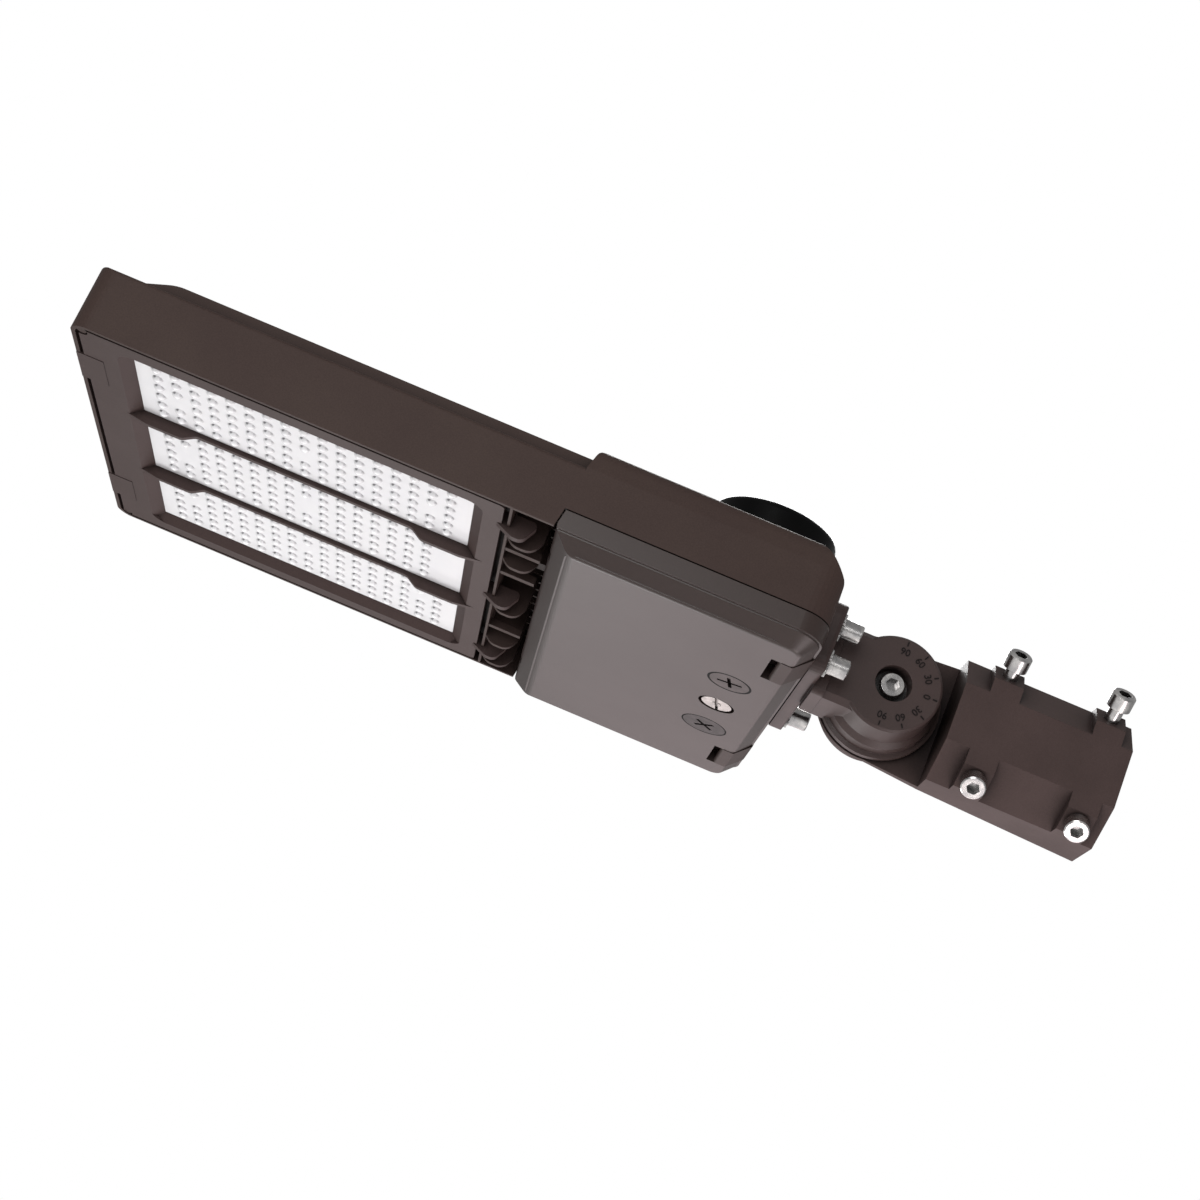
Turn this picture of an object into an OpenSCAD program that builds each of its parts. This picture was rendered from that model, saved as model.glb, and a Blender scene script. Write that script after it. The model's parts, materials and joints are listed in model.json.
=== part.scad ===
// Pole-mounted LED area light with a tilting slip fitter.
// Row frame: origin at the centre of the tenon socket's mouth, +X out of the mouth towards the pole,
// +Z up, LED side facing -Z. The modules draw in the head's own frame (x from the head's front end,
// z from the rim of the LED tray), and from_head() carries them to the row frame.

/* [Light head] */
// Overall width of the head, side to side
head_w = 320; // [300:5:350]
// Length of the LED tray, from the front end to the vent gap
tray_len = 277; // [260:1:300]
// Length of the vent gap between the LED tray and the driver box
vent_len = 31; // [30:1:34]
// Length of the driver box, from the vent gap to the rear wall
box_len = 170; // [168:1:185]
// Height of the side walls above the LED rim
side_h = 41.5; // [40:0.5:44]
// Height of the driver box roof above the side walls
hump_h = 15.5; // [13:0.5:17]
// Casting wall thickness
wall = 3; // [2.6:0.2:3.4]
// Radius of the upright corners at the front end
front_corner_r = 12; // [9:1:14]
// Radius of the upright corners at the rear end
rear_corner_r = 18; // [16:0.5:20]
// Height of the underside of the heat spreader above the rim
spreader_z = 13; // [13:0.5:15]
// Thickness of the heat spreader that carries the LED boards
spreader_t = 4; // [3:0.5:5]

/* [Cooling fins] */
// Spacing of the cooling fins
fin_pitch = 15; // [12:1:20]
// Thickness of a cooling fin
fin_t = 2.6; // [2:0.2:3.4]
// Height of the fin tops above the side walls
fin_rise = 9; // [6:0.5:10]
// Thickness of the curved ribs that hang in the vent gap
vent_rib_t = 4; // [3:0.5:5]
// Depth of the curved ribs and hooks below the LED rim
vent_rib_drop = 4; // [3:0.5:5]

/* [Lens frame and optics] */
// Open gap between the lens frame and the tray wall
frame_gap = 2.4; // [2:0.2:3]
// Thickness of the lens frame's flange
frame_t = 3; // [2.5:0.25:3.5]
// Width of the frame between its front edge and the windows
frame_front_w = 23.1; // [20:0.5:26]
// Width of the frame between the windows and its rear edge
frame_rear_w = 12.3; // [11:0.1:16]
// Width of the frame beside the windows
frame_side_w = 12.6; // [11:0.2:15]
// Depth of the lens face above the LED rim
lens_depth = 6; // [5.5:0.25:6.5]
// Width of the sloping reveal round the windows
reveal_w = 7.5; // [6:0.5:9]
// Thickness of the two cross bars
bar_t = 4; // [3:0.5:5]
// Depth of the cross bar ends below the LED rim
bar_drop = 2; // [1.5:0.5:3]
// Length of each deep end of a cross bar, from the window's edge
bar_end_len = 36; // [30:1:44]
// Thickness of a lens strip
lens_t = 2.5; // [2:0.25:2.75]
// Radius of the sphere that shapes a dome
dome_r = 3.7; // [3.5:0.1:4.2]
// Height of a dome below the lens face
dome_h = 2.6; // [2:0.2:3]
// Spacing of the domes along the strip
dome_pitch_x = 12; // [11.5:0.25:14]
// Spacing of the domes across the strip
dome_pitch_y = 13.3; // [12.5:0.1:13.4]
// Rows of domes across one strip
dome_rows = 6; // [5:1:6]

/* [Driver door] */
// Height of the seam between the driver box and its door
seam_z = 12.4; // [12.4:0.2:13]
// Open seam between the driver box and its door
seam_gap = 0.8; // [0.7:0.1:1]
// Depth of the door below the LED rim
door_drop = 11; // [11:0.5:13]
// Wall thickness of the door
door_t = 2.2; // [2:0.1:2.3]
// Width of the sloping edge along the door's sides and rear
door_bevel_w = 10.6; // [10.2:0.2:11.4]
// Radius of the door's hinge pins
hinge_pin_r = 1.25; // [1.1:0.05:1.3]
// Distance of the hinge stations from the sides of the head
hinge_inset = 50; // [42:1:60]
// Width of a latch lever
latch_w = 37; // [30:1:40]
// Distance of the latches' middle from the sides of the head
latch_inset = 56; // [52:1:62]
// Radius of the door screw's slotted head
door_screw_head_r = 10.3; // [9:0.1:10.6]
// Radius of the power dial
power_dial_r = 13.5; // [12.5:0.5:14.5]
// Radius of the colour dial
colour_dial_r = 15.2; // [14:0.2:15.6]
// Distance of the dials from the middle of the head
dial_y = 50.7; // [48:0.5:54]
// Distance of the dials and the door screw in front of the rear wall
dial_inset = 37; // [36:1:40]

/* [Photocell] */
// Radius of the photocell
photocell_r = 43.5; // [40:0.5:44]
// Height of the photocell's body
photocell_h = 51.5; // [40:0.5:56]
// Height of the receptacle above the roof
receptacle_h = 10; // [9.5:0.5:12]
// Distance of the photocell's axis in front of the rear wall
photocell_inset = 44; // [43:1:48]

/* [Knuckle] */
// Thickness of the bracket plate on the rear wall
plate_t = 9.5; // [8:0.5:11]
// Half of the bracket plate's width
plate_half_w = 75; // [71:1:80]
// Height of the bracket plate
plate_h = 47; // [45:1:49]
// Distance of the bracket bolts from the middle, sideways
bolt_y = 62; // [60:1:64]
// Half of the bracket bolts' spacing in height
bolt_half_z = 12.5; // [11:0.5:14]
// Reach of the pivot behind the bracket plate
pivot_reach = 46; // [46:1:56]
// Width of each half of the knuckle, from the toothed joint to its outer face
knuckle_half_w = 43; // [41:1:46]
// Radius of the dial face on the knuckle
knuckle_face_r = 32; // [29:1:34]
// Radius of the toothed joint
tooth_ring_r = 40; // [38:0.5:40.5]
// Half of the bracket arm's height
arm_half_h = 26; // [22:1:28]
// Number of teeth round the joint
tooth_count = 36; // [24:12:48]
// Pivot bolt diameter
pivot_d = 10; // [8:1:12]

/* [Slip fitter] */
// Outside diameter of the pole tenon that the socket takes
tenon_d = 60.3; // [58:0.1:62]
// Play between the tenon and the socket, on the diameter
tenon_play = 1.7; // [1:0.1:2.5]
// Depth that the tenon slides into the socket
tenon_depth = 100; // [96:1:100]
// Length of the octagonal socket
socket_len = 114; // [112:1:124]
// Width of the socket across its upright flats
socket_flats = 86; // [84:1:90]
// Distance of the socket's sloping flats from its axis
socket_slope_r = 44.5; // [43.5:0.5:47]
// Distance of the screw bosses' faces from the socket's axis
boss_r = 52; // [50:0.5:54]
// Length of a screw boss along the socket
boss_len = 20; // [18:1:22]
// Distance of the front screws from the socket's front end
screw_front_x = 26; // [24:0.5:28]
// Distance of the rear screws from the socket's mouth
screw_rear_x = 18; // [14:0.5:20]
// Set screw diameter
set_screw_d = 10; // [8:1:12]
// Length of a set screw below its head
set_screw_len = 22; // [20:0.5:22]
// How far each set screw is backed out: upper front, upper rear, lower front, lower rear
screw_backout = [7.3, 10, 1.3, 1.3];

/* [Hidden] */
// Play round shafts that turn, and the air kept between parts that move past each other
run_clear = 0.06;
air = 0.3;
$fn = 48;

half_w = head_w / 2;
box_x = tray_len + vent_len;
rear_x = box_x + box_len;
roof_z = side_h + hump_h;
socket_axis_z = 34;
pad_t = 3;
gasket_t = 1.5;
plate_x = rear_x + pad_t + gasket_t;
plate_face_x = plate_x + plate_t;
pivot_x = plate_face_x + pivot_reach;
tongue_r = socket_flats / 2;
socket_x = pivot_x + tongue_r;
mouth_x = socket_x + socket_len;
plate_mid_z = socket_axis_z + 1;
plate_lip = 2.5;

// Tray, frame and optics
tray_back_x = tray_len + 4.5;
tray_back_t = 1.8;
frame_x0 = wall + frame_gap;
frame_x1 = tray_len - 0.7;
frame_corner_r = front_corner_r - wall - frame_gap;
corner_boss_r = 3.2;
corner_boss_in = front_corner_r - (front_corner_r - wall - corner_boss_r + 0.7) * sqrt(0.5);
frame_half_w = half_w - wall - frame_gap;
window_x0 = frame_x0 + frame_front_w;
window_x1 = frame_x1 - frame_rear_w;
window_half_w = frame_half_w - frame_side_w;
lens_x0 = window_x0 + reveal_w;
lens_x1 = window_x1 - reveal_w;
lens_half_w = window_half_w - reveal_w * 0.9;
bar_y = window_half_w / 3;
lens_lap = 3.5;
spreader_top = spreader_z + spreader_t;
fin_low_z = side_h - 12.5;
fin_top = side_h + fin_rise;
fin_count = 2 * floor((half_w - wall - fin_t - 4) / fin_pitch) + 1;
board_t = 1.6;
chip_h = 0.8;
tab_y = 100;
tab_w = 36;
tab_len = 18;
hook_y = [-124, 8, 122];
hook_t = 6;
vent_rib_y = [-109, -70, 21, 92, 136];
vent_bar_y = [-86, -42, 70];
vent_bar_t = 5;
duct_y = -38;
duct_x0 = lens_x1 - 18;
duct_half_w = 5.5;
duct_bore_r = 3.5;

// Driver box and door
ledge_t = 2;
seal_h = 3;
ledge_z = seam_z + seal_h;
door_top = seam_z - seam_gap;
door_front_x = box_x - 0.1;
door_front_lean = 2;
front_bevel_w = 13;
door_break_z = -1.7;
door_step_w = 1.6;
door_step_z = -0.8;
door_floor = -door_drop + door_t;
hinge_x = box_x + 5.5;
hinge_y = half_w - hinge_inset;
hinge_z = 1.2;
lug_r = 2.5;
lug_w = 12;
rim_t = 2;
rim_inset = 9;
rim_rear_inset = 18;
rim_x0 = box_x + 11;
rim_x1 = rear_x - rim_rear_inset;
rim_half_w = half_w - rim_inset;
dial_x = rear_x - dial_inset;
post_top = 1.5;
stem_r = 3;
boss_floor = -door_drop + 6.5;
head_depth = 4.2;
screw_shaft_r = 3;
latch_y = half_w - latch_inset;
latch_pocket_x0 = rear_x - 23;
latch_front_x = latch_pocket_x0 + 4.5;
latch_pivot_x = rear_x - 4;
latch_pivot_z = -1;
latch_pin_r = 1.25;
latch_eye_r = 2.7;
latch_proud = 0.3;
pocket_top = 1.2;
latch_slot_top = 4.4;
keeper_x = rear_x - 4.2;
keeper_t = 2.4;
keeper_z = 6;
keeper_w = 16;
arm_gap = 0.6;

// Inside the driver box
driver_x0 = box_x + 15;
driver_l = 160;
driver_w = 62;
driver_h = 30;
driver_ear = 10;
ceiling_z = roof_z - wall;
duct_z = ceiling_z - driver_h + 2.5;
wire_r = 1.2;
surge_l = 56;
surge_w = 34;
surge_h = 26;
board_half_w = dial_y + 19;
port_pitch = 12.5;
terminal_y = half_w - 98;
terminal_l = 4 * port_pitch;

// Photocell
photocell_x = rear_x - photocell_inset;
receptacle_r = 32;
receptacle_body_r = 20;
receptacle_depth = 22;
blade_r = 13.5;
blade_t = 1.6;
blade_span = 34;
twist = 20;
blade_h = 7;

// Knuckle and slip fitter
tooth_h = 1.05;
recess_r = 12;
recess_depth = 14;
bolt_head_r = 8.2;
bolt_head_h = 9;
washer_t = 2;
nut_flats = 17;
nut_h = 8;
wire_r0 = 14;
wire_r1 = 24;
wire_depth = 20;
fitter_draft = 4.6;
socket_bore_r = (tenon_d + tenon_play) / 2;
screw_x = [socket_x + screw_front_x, mouth_x - screw_rear_x];
set_head_r = 8;
set_head_h = 10;
plate_bolt_r = 4;
plate_bolt_head_r = 6.6;
plate_bolt_head_h = 10;
tooth_washer_t = 1.5;
split_washer_t = 2.7;
plate_washer_t = tooth_washer_t + split_washer_t;
plate_bolt_grip = 14;

bronze = "#4b403d";
bronze_dark = "#3a312f";
steel = "#c9c8c6";
black = "#141413";
clear = "#e8ecf0";
board_white = "#f4f4f1";
seal_grey = "#2a2a2a";
wire_red = "#8c2a22";

// ---- Helpers -------------------------------------------------------------------------------

// From the head's own frame to the row frame
module from_head() translate([-mouth_x, 0, -socket_axis_z]) children();

// A flat outline in X and Z, carried along Y from y0 to y1
module along_y(y0, y1) translate([0, y1, 0]) rotate([90, 0, 0]) linear_extrude(y1 - y0) children();

// A flat outline in Y and Z, carried along X from x0 to x1
module along_x(x0, x1) translate([x0, 0, 0]) rotate([90, 0, 90]) linear_extrude(x1 - x0) children();

// A flat outline in X and Y, carried up from z0 to z1
module up_z(z0, z1) translate([0, 0, z0]) linear_extrude(z1 - z0) children();

// A box from one corner to the other
module block(low, high) translate(low) cube(high - low);

// A round bar along Y
module rod_y(x, z, r, y0, y1) translate([x, y1, z]) rotate([90, 0, 0]) cylinder(r = r, h = y1 - y0);

// A round bar along X
module rod_x(y, z, r, x0, x1) translate([x0, y, z]) rotate([0, 90, 0]) cylinder(r = r, h = x1 - x0);

function unit(v) = v / norm(v);

// The points of one corner: b is [x, y, radius], a and c are its neighbours
function corner_points(a, b, c, steps) =
    b[2] == 0 ? [[b.x, b.y]] :
    let (p = [b.x, b.y],
         u = unit([a.x, a.y] - p),
         v = unit([c.x, c.y] - p),
         half = acos(u * v) / 2,
         centre = p + unit(u + v) * b[2] / sin(half),
         from = p + u * b[2] / tan(half) - centre,
         to = p + v * b[2] / tan(half) - centre,
         start = atan2(from.y, from.x),
         sweep = (atan2(to.y, to.x) - start + 540) % 360 - 180)
    [for (i = [0:steps]) centre + b[2] * [cos(start + sweep * i / steps), sin(start + sweep * i / steps)]];

// An outline whose corners [x, y, radius] are rounded
function rounded(points, steps = 6) =
    let (n = len(points))
    [for (i = [0:n - 1]) each corner_points(points[(i + n - 1) % n], points[i], points[(i + 1) % n], steps)];

// A rectangle from low to high with corners of radius r
function rounded_box(low, high, r, steps = 6) =
    rounded([[low.x, low.y, r], [high.x, low.y, r], [high.x, high.y, r], [low.x, high.y, r]], steps);

// The outline's mirror image, for a profile that is the same on both sides of the middle
function both_sides(points) =
    concat(points, [for (i = [len(points) - 1:-1:0]) [-points[i].x, points[i].y, points[i][2]]]);

// ---- Light head ----------------------------------------------------------------------------

// Plan of the head at inset t: round front corners r0, round rear corners r1
module head_plan(x0, x1, t, r0, r1)
    polygon(rounded([[x0 + t, -half_w + t, r0], [x1 - t, -half_w + t, r1],
                     [x1 - t, half_w - t, r1], [x0 + t, half_w - t, r0]], 8));

// The LED tray and the side walls that run on to the driver box
module tray_shell() {
    intersection() {
        up_z(0, side_h) head_plan(0, rear_x, 0, front_corner_r, rear_corner_r);
        along_x(0, box_x + 6) polygon(rounded(both_sides([[half_w, side_h, wall * 0.9], [half_w, 0, 0.6]])));
        along_y(-half_w, half_w) polygon(rounded([[0, 0, 0.6], [rear_x, 0, 0],
                                                  [rear_x, side_h, 0], [0, side_h, wall * 0.8]]));
    }
}

// The space inside the tray's walls, above or below the heat spreader
module tray_space(z0, z1, x1)
    up_z(z0, z1) polygon(rounded([[wall, -half_w + wall, front_corner_r - wall], [x1, -half_w + wall, 0],
                                  [x1, half_w - wall, 0], [wall, half_w - wall, front_corner_r - wall]], 8));

// One cooling fin: low at the front wall, swept up to its full height, and joined to the driver box
module cooling_fin(y)
    along_y(y - fin_t / 2, y + fin_t / 2)
        polygon(rounded([[wall + 4, spreader_top - 1, 0], [wall + 4, side_h - 8, 4], [wall + 15, side_h - 1, 10],
                         [wall + 42, fin_top, 30], [box_x + 6, fin_top, 0], [box_x + 4, fin_low_z, 0],
                         [tray_back_x - 1, fin_low_z, 3], [tray_back_x - 1, spreader_top - 1, 0]]));

// One curved rib in the vent gap: a round belly under a fin, short of the door
module vent_rib(y)
    along_y(y - vent_rib_t / 2, y + vent_rib_t / 2)
        polygon(rounded([[tray_back_x - 2, spreader_top, 0], [tray_back_x - 2, 2, 0],
                         [tray_back_x + 5, -vent_rib_drop, 9], [box_x - 9, -vent_rib_drop, 9],
                         [box_x - 4.5, 5, 4], [box_x - 4.5, fin_top - 6, 0], [tray_back_x - 2, fin_top - 6, 0]]));

// One straight bar in the vent gap
module vent_bar(y)
    block([tray_back_x - 1, y - vent_bar_t / 2, 1], [box_x - 3.5, y + vent_bar_t / 2, 6]);

// Duct for the LED wires: from the driver box over the vent gap and down through the spreader
module wire_duct()
    block([duct_x0, duct_y - duct_half_w, spreader_top - 1], [box_x + 6, duct_y + duct_half_w, duct_z + duct_half_w]);

// Outer form of the driver box at inset t, from the height low up
module box_form(t, low = seam_z) {
    lean = 1.5;
    front_lean = 4;
    intersection() {
        up_z(low, roof_z) head_plan(box_x, rear_x + 1, t, 1, rear_corner_r - t);
        along_x(box_x, rear_x + 1)
            polygon(rounded(both_sides([[half_w - lean - t, roof_z - t, 8 - t],
                                        [half_w - t, side_h, 3], [half_w - t, seam_z - 5, 0]])));
        along_y(-half_w, half_w)
            polygon(rounded([[box_x + wall + t, seam_z - 5, 0], [box_x + wall + t, side_h, 2],
                             [box_x + wall + front_lean + t, roof_z - t, 7 - t],
                             [rear_x - 21 - t / 2, roof_z - t, 20 - t], [rear_x - 0.8 - t, side_h - 1, 6 - t],
                             [rear_x - t, seam_z + 8, 4], [rear_x + 0.8 - t, seam_z - 5, 0]]));
    }
}

// The roof, rear wall and ledges that stand inside the driver box
module box_inside() {
    // Ledge that the door gasket is bonded to
    difference() {
        intersection() {
            box_form(wall - 1);
            up_z(ledge_z, ledge_z + ledge_t) head_plan(box_x, rear_x, 0, 1, rear_corner_r);
        }
        up_z(ledge_z - 1, ledge_z + ledge_t + 1)
            polygon(rounded_box([rim_x0 + rim_t + 2.5, -rim_half_w + rim_t + 2.5],
                                [rim_x1 - rim_t - 2.5, rim_half_w - rim_t - 2.5], 5));
    }
    // Shelf with the hole for the door screw
    block([dial_x - 11, -10, ledge_z], [rear_x - 3, 10, ledge_z + 4]);
    // Blind bosses behind the rear wall for the bracket bolts
    for (y = [-bolt_y, bolt_y], z = [-bolt_half_z, bolt_half_z])
        intersection() {
            rod_x(y, plate_mid_z + z, 8.5, rear_x - 15, rear_x - 1);
            box_form(1);
        }
    // Keepers for the door latches
    for (side = [-1, 1])
        block([keeper_x, side * latch_y - keeper_w / 2, keeper_z],
              [keeper_x + keeper_t, side * latch_y + keeper_w / 2, ledge_z + 1]);
    // Hinge lugs in front of the gasket
    for (side = [-1, 1]) hinge_lug(side);
}

module hinge_lug(side) {
    y = side * hinge_y;
    rod_y(hinge_x, hinge_z, lug_r, y - lug_w / 2, y + lug_w / 2);
    block([hinge_x - lug_r, y - lug_w / 2, hinge_z], [hinge_x + lug_r, y + lug_w / 2, seam_z + 4]);
}

// Raised pad on the rear wall that the bracket plate is bolted to
module rear_pad()
    along_y(-plate_half_w + 3, plate_half_w - 3)
        polygon(rounded([[rear_x - 8, plate_mid_z - plate_h / 2 + 2, 0],
                         [rear_x + pad_t, plate_mid_z - plate_h / 2 + 2, 1],
                         [rear_x + pad_t, plate_mid_z + plate_h / 2 - 2, 3],
                         [rear_x - 5, plate_mid_z + plate_h / 2 - 2, 3],
                         [rear_x - 19, roof_z - 4, 2], [rear_x - 8, side_h - 6, 0]]));

module housing() color(bronze) from_head() difference() {
    union() {
        difference() {
            tray_shell();
            tray_space(-1, spreader_z, tray_back_x - tray_back_t);
            tray_space(spreader_top, side_h + 1, box_x + 7);
            // The vent gap is open from top to bottom
            block([tray_back_x, -half_w + wall, -1], [box_x + 7, half_w - wall, side_h + 1]);
            // Notches that the lens frame's front tabs lie in
            for (side = [-1, 1])
                block([-1, side * tab_y - tab_w / 2 - air, -1], [wall + 1, side * tab_y + tab_w / 2 + air, frame_t]);
            // Slots that the frame's hooks pass through
            for (y = hook_y)
                block([tray_back_x - 4, y - hook_t / 2 - air, -1], [tray_back_x + 1, y + hook_t / 2 + air, 9 + air]);
            // Space above the door
            along_y(-half_w - 1, half_w + 1)
                polygon([[box_x - 1, -1], [box_x - 1, 0], [box_x + 1, seam_z], [rear_x, seam_z], [rear_x, -1]]);
        }
        difference() {
            union() {
                box_form(0);
                rear_pad();
                translate([photocell_x, 0, roof_z - 10]) cylinder(r = receptacle_r + 1, h = 10);
            }
            box_form(wall, seam_z - 1);
        }
        box_inside();
        for (i = [0:fin_count - 1]) cooling_fin((i - (fin_count - 1) / 2) * fin_pitch);
        // Bosses in the tray's front corners
        for (side = [-1, 1])
            translate([corner_boss_in, side * (half_w - corner_boss_in), 0.6])
                cylinder(r = corner_boss_r, h = spreader_z);
        for (y = vent_rib_y) vent_rib(y);
        for (y = vent_bar_y) vent_bar(y);
        wire_duct();
    }
    // Bore of the wire duct
    rod_x(duct_y, duct_z, duct_bore_r, duct_x0 + 2, box_x + 12);
    translate([duct_x0 + 2 + duct_bore_r, duct_y, spreader_z - 1]) cylinder(r = duct_bore_r, h = duct_z - spreader_z + 1);
    // Front run of the shell, cut back so that the door's front edge can swing
    block([box_x + wall - 0.1, -half_w + wall, seam_z - 6], [hinge_x - lug_r, half_w - wall, seam_z]);
    for (side = [-1, 1])
        rod_y(hinge_x, hinge_z, hinge_pin_r, side * hinge_y - lug_w, side * hinge_y + lug_w);
    // Hole for the door screw's end
    translate([dial_x, 0, seam_z]) cylinder(r = screw_shaft_r + 0.9, h = 20);
    // Photocell socket's hole
    translate([photocell_x, 0, roof_z - 12]) cylinder(r = receptacle_body_r + 0.5, h = 20);
    // Wire hole in the rear wall
    rod_x(-knuckle_half_w / 2, socket_axis_z, 8, rear_x - 12, rear_x + 10);
    // Threaded holes of the bracket bolts
    for (y = [-bolt_y, bolt_y], z = [-bolt_half_z, bolt_half_z])
        rod_x(y, plate_mid_z + z, plate_bolt_r + run_clear, rear_x - 12, rear_x + 10);
}

// ---- Lens frame and optics -----------------------------------------------------------------

// The window's sloping reveal, wide at the rim and narrow at the lens face
module window_cut() {
    intersection() {
        up_z(-lens_depth, lens_depth + 1)
            polygon(rounded_box([window_x0, -window_half_w], [window_x1, window_half_w], 11));
        along_y(-window_half_w - 1, window_half_w + 1)
            polygon([[window_x0 - reveal_w, -lens_depth], [window_x1 + reveal_w, -lens_depth],
                     [lens_x1, lens_depth], [lens_x1, lens_depth + 1], [lens_x0, lens_depth + 1], [lens_x0, lens_depth]]);
        along_x(window_x0 - 9, window_x1 + 9)
            polygon([[-2 * window_half_w + lens_half_w, -lens_depth], [2 * window_half_w - lens_half_w, -lens_depth],
                     [lens_half_w, lens_depth], [lens_half_w, lens_depth + 1],
                     [-lens_half_w, lens_depth + 1], [-lens_half_w, lens_depth]]);
    }
}

// A cross bar: shallow over the optics, deep and pointed at both ends
module cross_bar(y)
    along_y(y - bar_t / 2, y + bar_t / 2)
        polygon(rounded([[window_x0 - 5, 0.5, 0], [window_x0 + 12, -bar_drop, 20],
                         [window_x0 + bar_end_len, -bar_drop, 7], [window_x0 + bar_end_len + 8, lens_depth - 3, 7],
                         [window_x1 - bar_end_len - 8, lens_depth - 3, 7],
                         [window_x1 - bar_end_len, -bar_drop, 7], [window_x1 - 10, -bar_drop, 20],
                         [window_x1 + 9, 0.5, 0], [window_x1 + 5, lens_depth, 0], [window_x0 - 2, lens_depth, 0]]));

// A hook blade: starts on the frame's face, dips below it and rises through the tray's rear wall
module frame_hook(y)
    along_y(y - hook_t / 2, y + hook_t / 2)
        polygon(rounded([[frame_x1 - 4, 0.5, 0], [tray_back_x + 3, -vent_rib_drop - 1, 9],
                         [tray_back_x + 10, -vent_rib_drop - 1, 6], [tray_back_x + 17, 9, 3],
                         [frame_x1 - 4, 9, 2]]));

module lens_frame() color(bronze) from_head() {
    difference() {
        union() {
            up_z(0, frame_t)
                polygon(rounded([[frame_x0, -frame_half_w, frame_corner_r], [frame_x1, -frame_half_w, 3],
                                 [frame_x1, frame_half_w, 3], [frame_x0, frame_half_w, frame_corner_r]]));
            up_z(0, lens_depth)
                polygon(rounded_box([window_x0 - 4, -window_half_w - 4], [window_x1 + 4, window_half_w + 4], 6));
            for (side = [-1, 1])
                block([air, side * tab_y - tab_w / 2, -0.4], [tab_len, side * tab_y + tab_w / 2, frame_t - air]);
        }
        window_cut();
        // Notches round the bosses in the tray's front corners
        for (side = [-1, 1])
            translate([corner_boss_in, side * (half_w - corner_boss_in), -1]) cylinder(r = corner_boss_r + 0.9, h = frame_t + 2);
    }
    for (side = [-1, 1]) cross_bar(side * bar_y);
    for (y = hook_y) frame_hook(y);
}

// The strip's index is -1, 0 or 1, from near to far
function strip_mid(i) = i * (bar_y + lens_half_w + lens_lap) / 2;
function strip_half(i) = i == 0 ? bar_y - air : (lens_half_w + lens_lap - bar_y) / 2 - air;
dome_count = floor((lens_x1 - lens_x0 - 24) / dome_pitch_x) + 1;
dome_x0 = (lens_x0 + lens_x1) / 2 - (dome_count - 1) * dome_pitch_x / 2;

// The columns and rows of a strip's domes, without those left out where the board is screwed down
function strip_domes(i) =
    [for (c = [0:dome_count - 1], r = [0:dome_rows - 1])
        let (middle = c == 1 || c == floor((dome_count - 1) / 2),
             row = i < 0 ? dome_rows - 1 - r : r)
        if (i == 0 ? c < dome_count - 1 && !(middle && (r == 2 || r == 3))
                   : !((middle || c == dome_count - 2) && row == 2))
            [c, r]];

// A lens strip: a clear plate with rows of domes towards the ground
module lens_strip(i) color(clear) from_head() {
    mid_y = i * (bar_y + bar_t / 2 + lens_half_w) / 2;
    union() {
        block([lens_x0 - lens_lap, strip_mid(i) - strip_half(i), lens_depth],
              [lens_x1 + lens_lap, strip_mid(i) + strip_half(i), lens_depth + lens_t]);
        for (d = strip_domes(i))
            translate([dome_x0 + d[0] * dome_pitch_x, mid_y + (d[1] - (dome_rows - 1) / 2) * dome_pitch_y,
                       lens_depth + dome_r - dome_h])
                intersection() {
                    sphere(r = dome_r, $fn = 24);
                    translate([0, 0, -dome_r / 2 - (dome_r - dome_h) + 0.5])
                        cube([3 * dome_r, 3 * dome_r, dome_r], center = true);
                }
    }
}

// A circuit board with one LED above each dome
module led_board(i) color(board_white) from_head() {
    mid_y = i * (bar_y + bar_t / 2 + lens_half_w) / 2;
    inner = 5;
    block([lens_x0 + 1, strip_mid(i) - strip_half(i) + inner, spreader_z - board_t],
          [lens_x1 - 1, strip_mid(i) + strip_half(i) - inner, spreader_z]);
    for (d = strip_domes(i))
        translate([dome_x0 + d[0] * dome_pitch_x, mid_y + (d[1] - (dome_rows - 1) / 2) * dome_pitch_y,
                   spreader_z - board_t - chip_h / 2])
            cube([3, 3, chip_h + 0.02], center = true);
}

// Seal that presses the lens strips against the frame
module lens_gasket() color(seal_grey) from_head() difference() {
    up_z(lens_depth + lens_t, spreader_z)
        polygon(rounded_box([lens_x0 - lens_lap, -lens_half_w - lens_lap + air],
                            [lens_x1 + lens_lap, lens_half_w + lens_lap - air], 3));
    for (i = [-1:1])
        block([lens_x0, strip_mid(i) - strip_half(i) + 4, 0],
              [lens_x1, strip_mid(i) + strip_half(i) - 4, spreader_z + 1]);
}

// ---- Driver door ---------------------------------------------------------------------------

// Section of the door's edge, from the floor to the step under the straight wall. The outer edge is
// at e, the floor at low; the inside of the door, at inset t, has no step.
function door_edge(e, low, t) =
    t == 0 ? [[e - door_bevel_w, low, 4], [e - door_step_w - 0.2, door_break_z, 0.5],
              [e - door_step_w, door_step_z, 0.3], [e, door_step_z, 0.5]]
           : [[e - door_bevel_w + 0.4 * t, low, 1], [e - 1, door_break_z + 0.5 * t, 0.5],
              [e, door_break_z + 0.5 * t + 1, 0]];

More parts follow.
